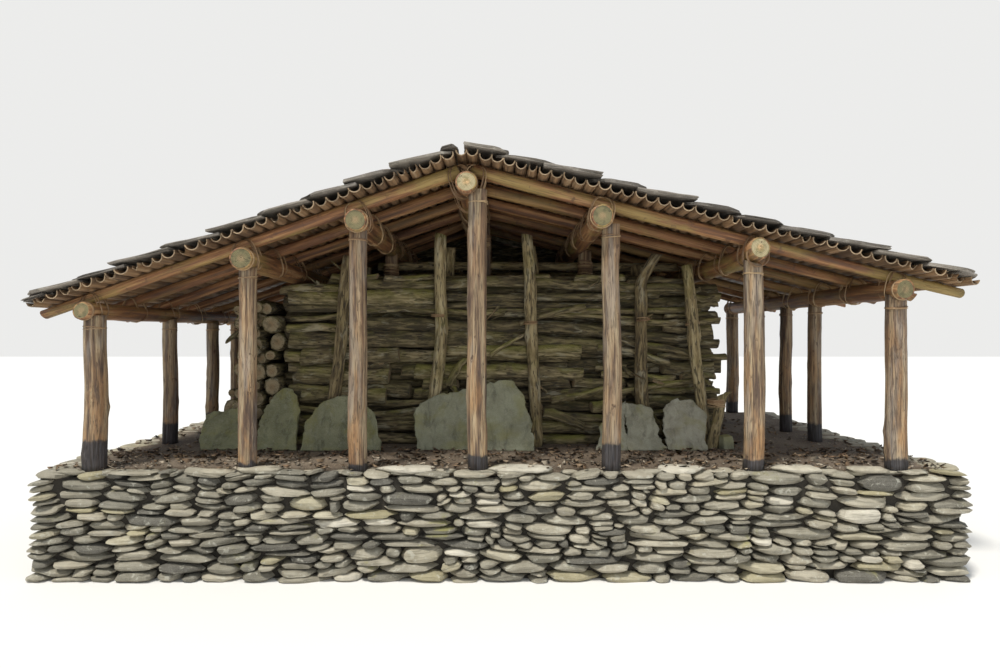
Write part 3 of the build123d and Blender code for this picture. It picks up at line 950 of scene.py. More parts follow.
def earth_top():
    """A loose crust over the CAD block of packed earth, which stays and gets the same finish."""
    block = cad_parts["earth_platform"].data
    block.materials.clear()
    block.materials.append(EARTH)
    lap = 0.20
    skirt_depth = 0.06
    low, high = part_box("earth_platform")
    width = high.x - low.x + 2 * lap
    depth = high.y - low.y + 2 * lap
    bm = start_mesh()
    bmesh.ops.create_grid(bm, x_segments=120, y_segments=72, size=0.5)
    skirt = bmesh.ops.extrude_edge_only(bm, edges=[e for e in bm.edges if e.is_boundary])["geom"]
    bottom = [v for v in skirt if isinstance(v, bmesh.types.BMVert)]
    bmesh.ops.contextual_create(bm, geom=[e for e in skirt if isinstance(e, bmesh.types.BMEdge)])
    for v in bm.verts:
        v.co.x *= width
        v.co.y *= depth
        v.co.z = PLATFORM_TOP + ground_height(v.co.x, v.co.y)
    for v in bottom:
        v.co.z = PLATFORM_TOP - skirt_depth
    make_piece(bm, "earth_top", [EARTH], sharp_angle=50)


def leaf_litter():
    """Leaves and chips on the platform, thickest in a band along its front part, from the front rim inwards.
    """
    rng = random.Random("litter")
    bm = start_mesh()
    low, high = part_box("earth_platform")
    for _ in range(2600):
        x = rng.uniform(low.x - 0.25, high.x + 0.25)
        anywhere = rng.random() < 0.45
        y = rng.uniform(low.y - 0.25, high.y + 0.25) if anywhere else rng.uniform(low.y - 0.28, -1.25)
        chip = rng.random() < 0.45
        size = rng.uniform(0.012, 0.030) if chip else rng.uniform(0.022, 0.048)
        half = Vector((size, size * rng.uniform(0.25, 0.6), size * rng.uniform(0.10, 0.25)))
        turn = turned(UNTURNED, (rng.uniform(0, math.tau), "Z"), (rng.gauss(0, 0.3), "X"),
                      (rng.gauss(0, 0.25), "Y"))
        tone = rng.uniform(0.45, 1.0) if chip else rng.uniform(0.0, 0.7)
        # Litter near the front rim gets paler tones: painted sunlight along the front edge.
        if y < low.y + 0.25:
            tone = min(1.0, tone + 0.3)
        middle = Vector((x, y, PLATFORM_TOP + ground_height(x, y) + 0.008))
        for v in add_copy(bm, LEAF_BLANK):
            local = Vector((v.co.x * half.x, v.co.y * half.y, v.co.z * half.z + 3.0 * v.co.x ** 2 * half.z))
            v.co = middle + turn @ local
            mark(bm, v, local, tone)
    make_piece(bm, "leaf_litter", [LITTER])


# Posts, purlins and tie beams

# Each front post's girth as a share of the CAD post's, and how high it is charred
FRONT_POSTS = {
    "front_post_1": (1.04, 0.24),
    "front_post_2": (0.90, 0.06),
    "front_post_3": (0.88, 0.05),
    "front_post_4": (0.94, 0.12),
    "front_post_5": (0.90, 0.21),
    "front_post_6": (0.94, 0.08),
    "front_post_7": (1.0, 0.09),
}
POST_ROWS = ("rear_posts", "left_side_posts", "right_side_posts", "front_inner_posts", "rear_inner_posts",
             "door_post")
ROW_CHAR = 0.20
FRONT_TRUNK = Growth(sides=16, rings=26, bend=0.012, lumps=0.040, oval=0.03, knots=5, knot_size=0.14)
ROW_TRUNK = FRONT_TRUNK._replace(sides=14, rings=22)
PURLIN_POLE = Growth(sides=18, rings=26, lumps=0.035, oval=0.03, knots=7, knot_size=0.10)
TIE_BEAM = Growth(rings=18, bend=0.015)
FRESH_CUTS = ("ridge_purlin", "right_lower_purlin")


def trunk_line(points):
    """The foot, head and radius of a post. Its head is in the purlin, under the middle of the saddle."""
    foot, radius = ends_of(points)[0]
    return foot, Vector((foot.x, foot.y, max(p.z for p in points))), radius


def add_trunk(bm, points, girth, burnt, rng, growth):
    """A round trunk in place of a CAD post, charred up to a height over the platform."""
    foot, head, radius = trunk_line(points)
    radius *= girth
    layer = bm.verts.layers.float["burnt"]
    for v in add_pole(bm, foot, head, radius, radius * 0.93, rng, growth):
        v[layer] = burnt


def posts():
    for node, (girth, burnt) in FRONT_POSTS.items():
        rng = random.Random(node)
        bm = start_mesh("burnt")
        add_trunk(bm, solids_in(node)[0], girth, burnt, rng, FRONT_TRUNK)
        make_piece(bm, node + "_trunk", [POST_WOOD, PURLIN_END], [node])
    for node in POST_ROWS:
        rng = random.Random(node)
        bm = start_mesh("burnt")
        for points in solids_in(node):
            add_trunk(bm, points, 1.0, ROW_CHAR * rng.uniform(0.8, 1.1), rng, ROW_TRUNK)
        make_piece(bm, node + "_trunks", [POST_WOOD, PURLIN_END], [node])


def raised_front(t):
    """Bends the front end of a purlin up."""
    return UP * (0.055 * max(0.0, 1 - t / 0.16) ** 1.5)


def purlins():
    for name in PURLINS:
        rng = random.Random(name)
        middle, radius, front_y, rear_y = purlin_line(name)
        front = Vector((middle.x, front_y, middle.z))
        rear = Vector((middle.x, rear_y, middle.z))
        bow = raised_front if name == "right_lower_purlin" else None
        bm = start_mesh()
        add_pole(bm, front, rear, radius * 1.02, radius * 0.96, rng, PURLIN_POLE, bow)
        end = PURLIN_END if name in FRESH_CUTS else OLD_END
        make_piece(bm, name + "_pole", [POLE_WOOD, end], [name])


def tie_beams():
    for name in ("front_tie_beam", "rear_tie_beam"):
        rng = random.Random(name)
        low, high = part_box(name)
        middle = (low + high) / 2
        radius = (high.z - low.z) / 2
        left = Vector((low.x, middle.y, middle.z))
        right = Vector((high.x, middle.y, middle.z))
        bm = start_mesh()
        add_pole(bm, left, right, radius, radius, rng, TIE_BEAM)
        make_piece(bm, name + "_pole", [STAKE_BARK, PURLIN_END], [name])


# Roof

RAFTER_POLE = Growth(sides=14, rings=24, bend=0.014, knots=8, knot_size=0.14)
FRONT_RAFTER_TONE = 0.85
BROKEN_CULMS = {-1: 0.35, 1: 0.14}
LOOSE_SLATES = {-1: 1.8, 1: 1.0}
SLATE_RIDGE_END = {-1: -0.03, 1: -0.10}

# The two culms over the ridge: how far each is moved aside and raised
RIDGE_CULMS = ((0.0, 0.004), (-0.090, 0.010))


class Slope(NamedTuple):
    """Where the culms lie: the ridge end of the slope, the ways down and out of it, and its length."""

    side: int
    start: Vector
    down: Vector
    out: Vector
    run: float


def slope_axes(side):
    """The ways down the slope and out of it, in the plane over the purlins."""
    a = PITCH[side]
    return Vector((side * math.cos(a), 0, -math.sin(a))), Vector((side * math.sin(a), 0, math.cos(a)))


def culm_slope(side):
    """The plane on the rafters is a little steeper than the purlins' one, because rafters taper."""
    ridge = purlin_line("ridge_purlin")
    down, out = slope_axes(side)
    length = REACH[side] / math.cos(PITCH[side])
    start = ridge.middle + out * (ridge.radius + 2 * RAFTER_BUTT)
    end = ridge.middle + down * length + out * (ridge.radius + 2 * RAFTER_TIP)
    start.y = end.y = 0
    down = (end - start).normalized()
    out = Vector((-down.z * side, 0, down.x * side))
    return Slope(side, start, down, out, (end - start).length)


def rafter_lines(side):
    """The thick end at the ridge and the thin one at the eave of each rafter, from front to rear."""
    ridge = purlin_line("ridge_purlin")
    down, out = slope_axes(side)
    length = REACH[side] / math.cos(PITCH[side])
    head = ridge.middle + down * 0.02 + out * (ridge.radius + RAFTER_BUTT)
    tip = ridge.middle + down * length + out * (ridge.radius + RAFTER_TIP)
    rafters_in = solids_in(f"{SIDE_NAME[side]}_rafters")
    places = sorted(sum(p.y for p in points) / len(points) for points in rafters_in)
    return [(Vector((head.x, y, head.z)), Vector((tip.x, y, tip.z))) for y in places]


def rafters():
    for side in (-1, 1):
        node = f"{SIDE_NAME[side]}_rafters"
        rng = random.Random(node)
        bm = start_mesh()
        for number, (head, tip) in enumerate(rafter_lines(side)):
            tone = FRONT_RAFTER_TONE if number == 0 else rng.uniform(0.0, 0.45)
            add_pole(bm, head, tip, RAFTER_BUTT, RAFTER_TIP, rng, RAFTER_POLE, tone=tone)
        make_piece(bm, node + "_poles", [POLE_WOOD, PURLIN_END], [node])


def culms():
    for side in (-1, 1):
        node = f"{SIDE_NAME[side]}_bamboo"
        rng = random.Random(node)
        bm = start_mesh()
        low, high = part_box(node)
        slope = culm_slope(side)
        count = int(slope.run // CULM_PITCH)
        for c in range(count):
            middle = slope.start + slope.down * (slope.run - (count - c - 0.5) * CULM_PITCH)
            add_culm(bm, middle, slope.down, slope.out, low.y, high.y, rng, side)
        if side > 0:
            top = slope.start + slope.down * (slope.run - count * CULM_PITCH - 0.5 * CULM_PITCH)
            for aside, lift in RIDGE_CULMS:
                add_culm(bm, top + Vector((aside, 0, lift)), ACROSS, UP, low.y, high.y, rng, side)
        make_piece(bm, node + "_culms", [CULM, CULM_EDGE], [node], 40)


def add_culm(bm, middle, down, out, front, rear, rng, side):
    """A split culm, hollow side up, with its joints, that lies on the rafters at middle."""
    joint_half_length = 0.04
    front_length = 0.14
    radius = rng.uniform(0.047, 0.055)
    place = random_place(rng)
    first = front + rng.uniform(-0.012, 0.05)
    last = rear + rng.uniform(-0.05, 0.012)
    joint_spacing = rng.uniform(0.30, 0.40)
    phase = rng.random()
    roll = rng.uniform(-0.16, 0.16)
    sway = rng.uniform(-0.012, 0.012)
    broken = rng.random() < BROKEN_CULMS[side]
    curl = rng.uniform(0.25, 0.45) if broken else rng.uniform(-0.05, 0.08)
    slant = rng.uniform(-0.02, 0.02)
    tone = rng.random()
    for v in add_copy(bm, CULM_BLANK):
        x, y, t = v.co
        along = first + (last - first) * t
        near_joint = math.exp(-(((along / joint_spacing + phase) % 1 - 0.5) / joint_half_length) ** 2)
        r = radius * (1 + 0.035 * near_joint + 0.03 * noise.noise(place + Vector((x, y, along * 3))))
        near_front = max(0.0, 1 - (along - first) / front_length)
        squeeze = 1 - curl * near_front
        angle = roll + x * 0.04
        cx = (x * math.cos(angle) - y * math.sin(angle)) * r * squeeze
        cy = (x * math.sin(angle) + y * math.cos(angle)) * r * (1 + 0.12 * curl * near_front)
        if t < 0.001:
            along += x * slant + (0.03 * noise.noise(place + Vector((x * 4, y * 4, 0))) if broken else 0)
        v.co = middle + down * (cx + sway * math.sin(math.pi * t)) + out * (CULM_HEIGHT + cy) + ALONG * along
        mark(bm, v, Vector((cx, cy, along)) + Vector((0, 0, place.x)), tone)


def slate_plates():
    for side in (-1, 1):
        node = f"{SIDE_NAME[side]}_slates"
        rng = random.Random(node)
        bm = start_mesh()
        low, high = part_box(node)
        verges = (low.y, high.y)
        slope = culm_slope(side)
        bed = CULM_HEIGHT + CULM_WALL
        tilt = math.asin(SLATE_THICKNESS / SLATE_EXPOSURE)
        eave = slope.run + SLATE_OVERHANG
        length = SLATE_EXPOSURE + SLATE_LAP
        head = eave - length
        while head > -SLATE_EXPOSURE:
            top_end = max(head, SLATE_RIDGE_END[side])
            raised_bed = bed + (top_end - head) * math.tan(tilt)
            lay_course(bm, slope, top_end, head + length, raised_bed, tilt, verges, rng)
            head -= SLATE_EXPOSURE

        # A flat course under the lowest one
        lay_course(bm, slope, eave - SLATE_LAP - 0.12, eave - 0.01, bed, 0.0, verges, rng)
        make_piece(bm, node + "_plates", [ROOF_SLATE], [node], 35)


def lay_course(bm, slope, head, foot, bed, tilt, verges, rng):
    """Plates side by side from the front verge to the rear one, between head and foot down the slope."""
    narrowest = 0.25
    at = verges[0] + rng.uniform(-0.01, 0.035)
    rear = verges[1]
    direction = (slope.down * math.cos(tilt) + slope.out * math.sin(tilt)).normalized()
    normal = (slope.out * math.cos(tilt) - slope.down * math.sin(tilt)).normalized()
    loose = LOOSE_SLATES[slope.side]
    number = 0
    while at < rear - 0.05:
        width = rng.uniform(0.36, 0.66)
        if rear - at - width < narrowest:
            width = rear - at + rng.uniform(-0.03, 0.01)
        grow = rng.uniform(-0.03, 0.025)
        size = foot - head + grow
        thick = rng.uniform(0.018, 0.030)
        half = Vector((size / 2, width / 2 + 0.012, thick / 2))
        lift = bed + thick / 2 + (0.004 if number % 2 else -0.002)
        middle = slope.start + slope.down * head + slope.out * lift + direction * (size / 2)
        middle += ALONG * (at + width / 2)
        turn = turned(Matrix((direction, ALONG * slope.side, normal)).transposed(),
                      (rng.gauss(0, 0.018 * loose), "Z"), (rng.gauss(0, 0.008 * loose), "X"))
        if slope.side < 0:
            turn = turned(turn, (rng.uniform(-0.015, 0.01), "Y"))
        add_plate(bm, middle, half, turn, rng)
        at += width
        number += 1


def add_plate(bm, middle, half, turn, rng):
    """A split stone plate with ragged outline, chipped corners and edges in layers."""
    ragged = 0.022
    split = 0.010
    place = random_place(rng)
    tone = within_one(rng.gauss(0.45, 0.22))
    chips = [(rng.choice((-1, 1)), rng.choice((-1, 1)), rng.uniform(0.1, 0.35)) for _ in range(2)]
    for v in add_copy(bm, PLATE_BLANK):
        x, y, z = v.co
        layer = round(z * 1.5 + 1.5)
        px = x * half.x
        py = y * half.y
        if max(abs(x), abs(y)) > 0.99:
            wander = Vector((px * 5, py * 5, layer * 7.7))
            inward = ragged * (0.5 + noise.noise(place + wander * 0.8))
            inward += split * noise.noise(place + wander * 3)
            px -= math.copysign(inward, x) if abs(x) > 0.99 else 0
            py -= math.copysign(inward, y) if abs(y) > 0.99 else 0
        for chip_x, chip_y, size in chips:
            near = max(0.0, (x * chip_x + y * chip_y) / 2 - (1 - size))
            px -= chip_x * near * half.x * 0.9
            py -= chip_y * near * half.y * 0.9
        pz = z * half.z + 0.004 * noise.noise(place + Vector((px * 4, py * 4, 0)))
        pz += 0.0025 * noise.noise(place + Vector((px * 13, py * 13, z)))
        local = Vector((px, py, pz))
        v.co = middle + turn @ local
        mark(bm, v, local + place, tone)


# Stacked logs

LOG_STEP = 0.05
STEEPEST_LOG = 0.0016
LOG_CROOK = 0.05
CORE_LOG = Growth(sides=8, rings=9, bend=0.006, lumps=0.10, oval=0.03, knot_size=0.2)
SLOPE_LOG = CORE_LOG._replace(lumps=0.08, oval=0.04)
OUTER_LOG = Growth(sides=10, rings=15, bend=0.020, lumps=0.14, oval=0.08, knot_size=0.45, saw=0.016)
INNER_LOG = OUTER_LOG._replace(sides=8, rings=9)
LOOSE_LOG = Growth(sides=10, rings=15, bend=0.022, lumps=0.13, oval=0.06, knots=3, knot_size=0.40, saw=0.012)
BRANCH_STUMP = Growth(sides=8, rings=5, bend=0.01, lumps=0.1, oval=0.06, knots=1, knot_size=0.3, saw=0.1)

# Thick logs with sawn ends and loose branches on the front wall: start x and z, end x and z, radii, y
FRONT_LOGS = (
    (-2.12, 2.395, -0.66, 2.375, 0.088, 0.095, -0.895),
    (-0.55, 1.840, 0.81, 1.828, 0.062, 0.076, -0.900),
    (-0.85, 1.625, 0.83, 1.612, 0.078, 0.070, -0.905),
    (-2.00, 1.780, -1.02, 1.800, 0.085, 0.080, -0.900),
    (-2.05, 1.600, -1.12, 1.585, 0.080, 0.084, -0.905),
    (-2.00, 1.385, -1.15, 1.385, 0.078, 0.084, -0.905),
    (-0.333, 1.767, -0.515, 1.500, 0.030, 0.036, -1.000),
    (-0.10, 1.795, 0.25, 2.010, 0.024, 0.015, -0.985),
    (0.20, 2.120, 0.85, 2.285, 0.026, 0.034, -0.965),
    (0.43, 1.225, 0.84, 1.085, 0.052, 0.044, -0.960),
    (0.52, 1.345, 1.08, 1.475, 0.036, 0.030, -0.950),
    (1.10, 1.420, 2.05, 1.560, 0.032, 0.026, -0.945),
    (0.98, 1.880, 1.70, 1.720, 0.036, 0.042, -0.945),
    (1.15, 1.985, 2.02, 1.800, 0.034, 0.030, -0.945),
)


class Stack(NamedTuple):
    """Where logs are stacked: a lower corner of the face, the ways along and into the wall, its length,
    and how far short of its first and last end the logs may stop.
    """

    origin: Vector
    run: Vector
    inward: Vector
    length: float
    ragged: tuple


class SettledLog(NamedTuple):
    """A log's ends and radii, and the height of its line at each step from the place called base."""

    start: float
    end: float
    radius: float
    tip_radius: float
    heights: list
    base: float


def resting_line(needed):
    """The line that a stiff log takes on the points it rests on, either side of its middle."""
    hull = []
    for point in enumerate(needed):
        while len(hull) > 1:
            (x0, y0), (x1, y1) = hull[-2:]
            if (y1 - y0) * (point[0] - x0) > (point[1] - y0) * (x1 - x0):
                break
            hull.pop()
        hull.append(point)
    middle = (len(needed) - 1) / 2
    for (x0, y0), (x1, y1) in zip(hull, hull[1:]):
        if x0 <= middle <= x1:
            return y0, (y1 - y0) / (x1 - x0), x0
    return needed[0], 0.0, 0


def choose_bed(rng, sky, ceiling, lowest, radius):
    """The smoothest of 24 beds that hold the lowest step, as its first step and the one after its last."""
    near_end = 8
    count = len(sky)
    best = None
    for attempt in range(24):
        size = rng.choice((rng.uniform(0.6, 1.4), rng.uniform(1.2, 2.4), rng.uniform(2.2, 3.8)))
        if attempt > 13:
            size = rng.uniform(0.35, 0.7)
        cells = min(count, round(size / LOG_STEP))
        first = max(0, min(count - cells, lowest - rng.randint(0, cells - 1)))
        last = first + cells
        first = 0 if first < near_end else first
        last = count if count - last < near_end else last
        under = sky[first:last]
        rough = max(under) - sum(under) / len(under) - 0.012 * size
        if max(under) + 2 * radius > min(ceiling[first:last]) + 0.02:
            rough += 1.0
        if best is None or rough < best[0]:
            best = (rough, first, last)
    return best[1:]


def crooked_heights(rng, under, radii, thickest, crook):
    """The height of a crooked log's line at each step, once it has settled on what is under it."""
    cells = len(under)
    reach = 9
    sunk_in = 0.006
    limp = 0.75 if thickest < 0.045 else 0.5
    place = random_place(rng)
    bend = crook * rng.uniform(0.3, 1.2) * min(1.0, cells * LOG_STEP / 1.6)
    crooks = [bend * (noise.noise(place + Vector((k * 0.045, 0, 0)))
                      + 0.5 * noise.noise(place + Vector((k * 0.13, 5, 0)))) for k in range(cells)]
    bed = [height + radius for height, radius in zip(under, radii)]
    level, slope, start = resting_line([b - c for b, c in zip(bed, crooks)])
    slope = max(-STEEPEST_LOG, min(STEEPEST_LOG, slope))
    nearby = [bed[max(0, k - reach):k + reach + 1] for k in range(cells)]
    followed = [sum(part) / len(part) for part in nearby]
    line = [(level + slope * (k - start)) * (1 - limp) + followed[k] * limp + crooks[k] for k in range(cells)]
    rise = sorted(b - h for b, h in zip(bed, line))[int(cells * 0.9)]
    return [h + rise - sunk_in for h in line]


def settle_logs(rng, stack, ceiling, thickness_at, crook):
    """Drops crooked logs on each other until they reach the ceiling, which is a height for each step."""
    count = int(stack.length / LOG_STEP)
    sky = [-0.01] * count
    logs = []
    for _ in range(900):
        open_cells = [k for k in range(count) if sky[k] < ceiling[k] - 0.04]
        if not open_cells:
            break
        lowest = min(open_cells, key=lambda k: sky[k] + rng.uniform(0, 0.03))
        room = max(0.020, (ceiling[lowest] - sky[lowest]) / 2 + 0.005)
        radius = min(room, thickness_at(lowest * LOG_STEP, sky[lowest], rng))
        first, last = choose_bed(rng, sky, ceiling, lowest, radius)
        cells = last - first
        taper = rng.uniform(0.72, 0.96)
        narrow_first = rng.random() < 0.5
        shares = [k / cells if narrow_first else 1 - k / cells for k in range(cells)]
        radii = [radius * (taper + (1 - taper) * share) for share in shares]
        heights = crooked_heights(rng, sky[first:last], radii, radius, crook)
        over = max(heights[k] + radii[k] - ceiling[first + k] for k in range(cells))
        if over > 0.025:
            sky[lowest] += 0.015
            continue
        for k in range(cells):
            sky[first + k] = max(sky[first + k], heights[k] + radii[k] * 0.97)
        start = first * LOG_STEP + rng.uniform(0.0, stack.ragged[0] if first == 0 else 0.04)
        end = last * LOG_STEP - rng.uniform(0.0, stack.ragged[1] if last == count else 0.04)
        logs.append(SettledLog(start, end, radii[0], radii[-1], heights, first * LOG_STEP))
    return logs


def line_of(log, flip):
    """How high the log's line lies at t, which runs from its end to its start if it is flipped."""
    def rise(t):
        here = log.start + (log.end - log.start) * ((1 - t) if flip else t)
        k = min(len(log.heights) - 1.001, max(0.0, (here - log.base) / LOG_STEP - 0.5))
        i = int(k)
        return UP * (log.heights[i] + (log.heights[i + 1] - log.heights[i]) * (k - i))
    return rise


def stack_logs(bm, rng, stack, ceiling, layers, thickness_at):
    """Logs in layers from the wall's face inwards. layers holds how far back each layer's face lies."""
    for number, depth in enumerate(layers):
        outer = number == 0
        growth = OUTER_LOG if outer else INNER_LOG
        crook = LOG_CROOK if outer else LOG_CROOK * 0.4
        for log in settle_logs(rng, stack, ceiling, thickness_at, crook):
            inset = depth + max(log.radius, log.tip_radius) + rng.uniform(-0.015, 0.050)
            flip = rng.random() < 0.5
            rise = line_of(log, flip)
            ends = [(stack.origin + stack.run * log.start + stack.inward * inset, log.radius),
                    (stack.origin + stack.run * log.end + stack.inward * inset, log.tip_radius)]
            if flip:
                ends.reverse()
            (foot, foot_radius), (head, head_radius) = ends
            tone = rng.random() if outer else rng.uniform(0.0, 0.35)
            grown = growth._replace(knots=rng.randint(1, 4))
            add_pole(bm, foot, head, foot_radius, head_radius, rng, grown, rise, tone)
            if outer and rng.random() < 0.40:
                add_stump(bm, foot, head, foot_radius, head_radius, rise, -stack.inward, rng)


def add_stump(bm, foot, head, foot_radius, head_radius, rise, outward, rng):
    """The stump of a branch on a log."""
    t = rng.uniform(0.12, 0.88)
    radius = foot_radius + (head_radius - foot_radius) * t
    along = (head - foot).normalized()
    side = (UP * rng.uniform(-1.0, 1.0) + outward * rng.uniform(0.1, 0.6)).normalized()
    aim = (along * rng.uniform(0.5, 1.4) + side).normalized()
    root = foot.lerp(head, t) + rise(t)
    size = rng.uniform(0.06, 0.20) + radius
    add_pole(bm, root, root + aim * size, radius * rng.uniform(0.45, 0.65), radius * rng.uniform(0.25, 0.42),
             rng, BRANCH_STUMP)


def core_logs(bm, rng, node, across):
    """One log in the heart of the wall for each CAD course, to close it behind the crooked outer logs."""
    low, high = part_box(node)
    heart = (low[across] + high[across]) / 2
    along = 1 - across
    for points in solids_in(node):
        low_end = Vector([min(p[i] for p in points) for i in range(3)])
        high_end = Vector([max(p[i] for p in points) for i in range(3)])
        middle = (low_end + high_end) / 2
        if not -0.01 < middle[across] - heart < 0.12:
            continue
        foot = middle.copy()
        head = middle.copy()
        foot[across] = head[across] = heart + rng.uniform(-0.02, 0.02)
        foot[along] = low_end[along] + rng.uniform(-0.03, 0.04)
        head[along] = high_end[along] - rng.uniform(-0.01, 0.08)
        radius = (high_end.z - low_end.z) / 2
        add_pole(bm, foot, head, radius * 1.06, radius * 1.02, rng, CORE_LOG, tone=0.1)


def slope_logs(bm, rng, node):
    """Poles along the slopes, between the purlins, that close the gable up to the culms."""
    into_inner = 0.005
    into_outer = 0.025
    low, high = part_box(node)
    ridge = purlin_line("ridge_purlin")
    rafter_places = [head.y for side in (-1, 1) for head, _ in rafter_lines(side)]
    places = [low.y + 0.06 + 0.02 * k for k in range(int((high.y - low.y - 0.12) / 0.02))]
    free = max(places, key=lambda y: min(abs(y - r) for r in rafter_places))
    by_distance = sorted(map(purlin_line, PURLINS), key=lambda line: abs(line.middle.x - ridge.middle.x))
    for side in (-1, 1):
        a = PITCH[side]
        lines = [line for line in by_distance if (line.middle.x - ridge.middle.x) * side > -0.01][:3]
        for inner, outer in zip(lines, lines[1:]):
            first = inner.middle.x + side * (inner.radius + into_inner)
            last = outer.middle.x - side * (outer.radius - into_outer)
            if not low.x < last < high.x:
                last = low.x + 0.05 if side < 0 else high.x - 0.05
            for drop in (-0.03, 0.09, 0.20):
                ends = []
                for x in (first, last):
                    roof = ridge.middle.z + ridge.radius / math.cos(a) - abs(x - ridge.middle.x) * math.tan(a)
                    ends.append(Vector((x, free + rng.uniform(-0.01, 0.01), roof - drop)))
                add_pole(bm, *ends, 0.062, 0.056, rng, SLOPE_LOG, tone=0.1)


def front_thickness(at, up, rng):
    """The front wall has thick logs low down, thin ones above them and some thick ones near the top."""
    roll = rng.random()
    if 0.30 < up < 0.98:
        if at < 3.1:
            return rng.uniform(0.062, 0.096) if roll < 0.62 else rng.uniform(0.032, 0.055)
        return rng.uniform(0.050, 0.078) if roll < 0.40 else rng.uniform(0.026, 0.045)
    if up < 0.30:
        return rng.uniform(0.045, 0.075) if roll < 0.5 else rng.uniform(0.030, 0.045)
    if up < 1.32:
        return rng.uniform(0.024, 0.044) if roll < 0.85 else rng.uniform(0.045, 0.06)
    if at < 1.6 and roll < 0.5:
        return rng.uniform(0.075, 0.095)
    return rng.uniform(0.030, 0.056)


def mixed_thickness(at, up, rng):
    return rng.choice((rng.uniform(0.030, 0.050), rng.uniform(0.050, 0.085)))


def thick_logs(at, up, rng):
    return rng.uniform(0.050, 0.095)


def front_ceiling(left_x, steps, crown):
    """How high the front wall's logs reach over the platform: higher in the middle of the gable."""
    crown_half = 1.85
    shoulder = 0.09
    places = [left_x + k * LOG_STEP for k in range(steps)]
    return [crown if abs(x) < crown_half else crown - shoulder for x in places]


def roof_ceiling(left_x, steps):
    """How high logs can reach over the platform below the rafters and purlins."""
    lines = [purlin_line(name) for name in PURLINS]
    ridge = purlin_line("ridge_purlin")
    heights = []
    for k in range(steps):
        x = left_x + k * LOG_STEP
        a = PITCH[-1 if x < ridge.middle.x else 1]
        roof = ridge.middle.z + (ridge.radius - 0.02) / math.cos(a) - abs(x - ridge.middle.x) * math.tan(a)
        for line in lines:
            if abs(x - line.middle.x) < line.radius + 0.02:
                roof = min(roof, line.middle.z - line.radius - 0.01)
        heights.append(roof - PLATFORM_TOP)
    return heights


def gable_log_walls():
    """The front wall, which is open above, and the rear one, which closes its gable."""
    for node, thickness_at, inward in (("front_log_wall", front_thickness, ALONG),
                                       ("rear_log_wall", mixed_thickness, -ALONG)):
        rng = random.Random(node)
        low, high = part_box(node)
        length = high.x - low.x
        steps = int(length / LOG_STEP) + 2
        is_front = node == "front_log_wall"
        face = low.y if is_front else high.y
        crown = high.z - PLATFORM_TOP
        ceiling = front_ceiling(low.x, steps, crown) if is_front else roof_ceiling(low.x, steps)
        stack = Stack(Vector((low.x, face, PLATFORM_TOP)), ACROSS, inward, length, (0.12, 0.26))
        bm = start_mesh()
        stack_logs(bm, rng, stack, ceiling, (0.0, 0.28), thickness_at)
        core_logs(bm, rng, node, 1)
        if is_front:
            for x0, z0, x1, z1, first_radius, last_radius, y in FRONT_LOGS:
                add_pole(bm, Vector((x0, y, z0)), Vector((x1, y, z1)), first_radius, last_radius, rng,
                         LOOSE_LOG, tone=rng.uniform(0.45, 1.0))
        else:
            slope_logs(bm, rng, node)
        make_piece(bm, node + "_logs", [LOG_BARK, LOG_END], [node])


def side_log_walls():
    """The left wall steps back above its foot: its lowest logs lie one layer further out."""
    foot_depth = 0.10
    foot_height = 0.6
    for node, thickness_at, inward, ragged in (("left_log_wall", thick_logs, ACROSS, 0.14),
                                               ("right_log_wall", mixed_thickness, -ACROSS, 0.03)):
        rng = random.Random(node)
        low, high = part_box(node)
        length = high.y - low.y
        steps = int(length / LOG_STEP) + 2
        is_left = node == "left_log_wall"
        face = low.x + foot_depth if is_left else high.x
        stack = Stack(Vector((face, low.y, PLATFORM_TOP)), ALONG, inward, length, (ragged, ragged))
        bm = start_mesh()
        stack_logs(bm, rng, stack, [high.z - PLATFORM_TOP] * steps, (0.0, 0.15, 0.29), thickness_at)
        core_logs(bm, rng, node, 0)
        if is_left:
            foot = stack._replace(origin=Vector((low.x, low.y, PLATFORM_TOP)))
            stack_logs(bm, rng, foot, [foot_height] * steps, (0.0,), thickness_at)
        make_piece(bm, node + "_logs", [LOG_BARK, LOG_END], [node])


# Stakes that clamp the log walls

STAKE_ROWS = ("front_wall_stakes", "rear_wall_stakes", "left_wall_stakes", "right_wall_stakes")
STAKE_POLE = Growth(rings=22, bend=0.045, lumps=0.08, oval=0.05, knots=5, knot_size=0.34, saw=0.015)
PROP_POLE = Growth(rings=12, bend=0.020, lumps=0.08, oval=0.05, knots=3, knot_size=0.3, saw=0.10)
PROP_FORK = PROP_POLE._replace(sides=8, rings=6, bend=0.01, knots=1)
PROP_FOOT = Vector((2.075, -1.135, PLATFORM_TOP))
PROP_HEAD = Vector((2.175, -1.125, PLATFORM_TOP + 0.53))


def crooked_head(t):
    """Bows a stake to the left and turns its head to the right."""
    turned_right = 0.165 * max(0.0, (t - 0.84) / 0.16) ** 1.3
    bowed_left = 0.04 * math.sin(math.pi * min(1.0, t / 0.9))
    return Vector((turned_right - bowed_left, 0, 0))


def wall_stakes():
    for node in STAKE_ROWS:
        rng = random.Random(node)
        bm = start_mesh()
        for points in solids_in(node):
            (foot, foot_radius), (head, head_radius) = ends_of(points)
            girth = rng.uniform(1.08, 1.30)
            is_crooked = node == "front_wall_stakes" and foot.y < -0.8 and 1.3 < foot.x < 1.7
            crook = crooked_head if is_crooked else None
            add_pole(bm, foot, head, foot_radius * girth, head_radius * girth, rng, STAKE_POLE, crook)
        if node == "front_wall_stakes":
            add_pole(bm, PROP_FOOT, PROP_HEAD, 0.058, 0.050, rng, PROP_POLE)
            fork_foot = PROP_FOOT.lerp(PROP_HEAD, 0.80)
            fork_head = PROP_HEAD + Vector((0.075, 0.0, 0.035))
            add_pole(bm, fork_foot, fork_head, 0.034, 0.024, rng, PROP_FORK)
        make_piece(bm, node + "_poles", [STAKE_BARK, LOG_END], [node])


# Leaning slabs

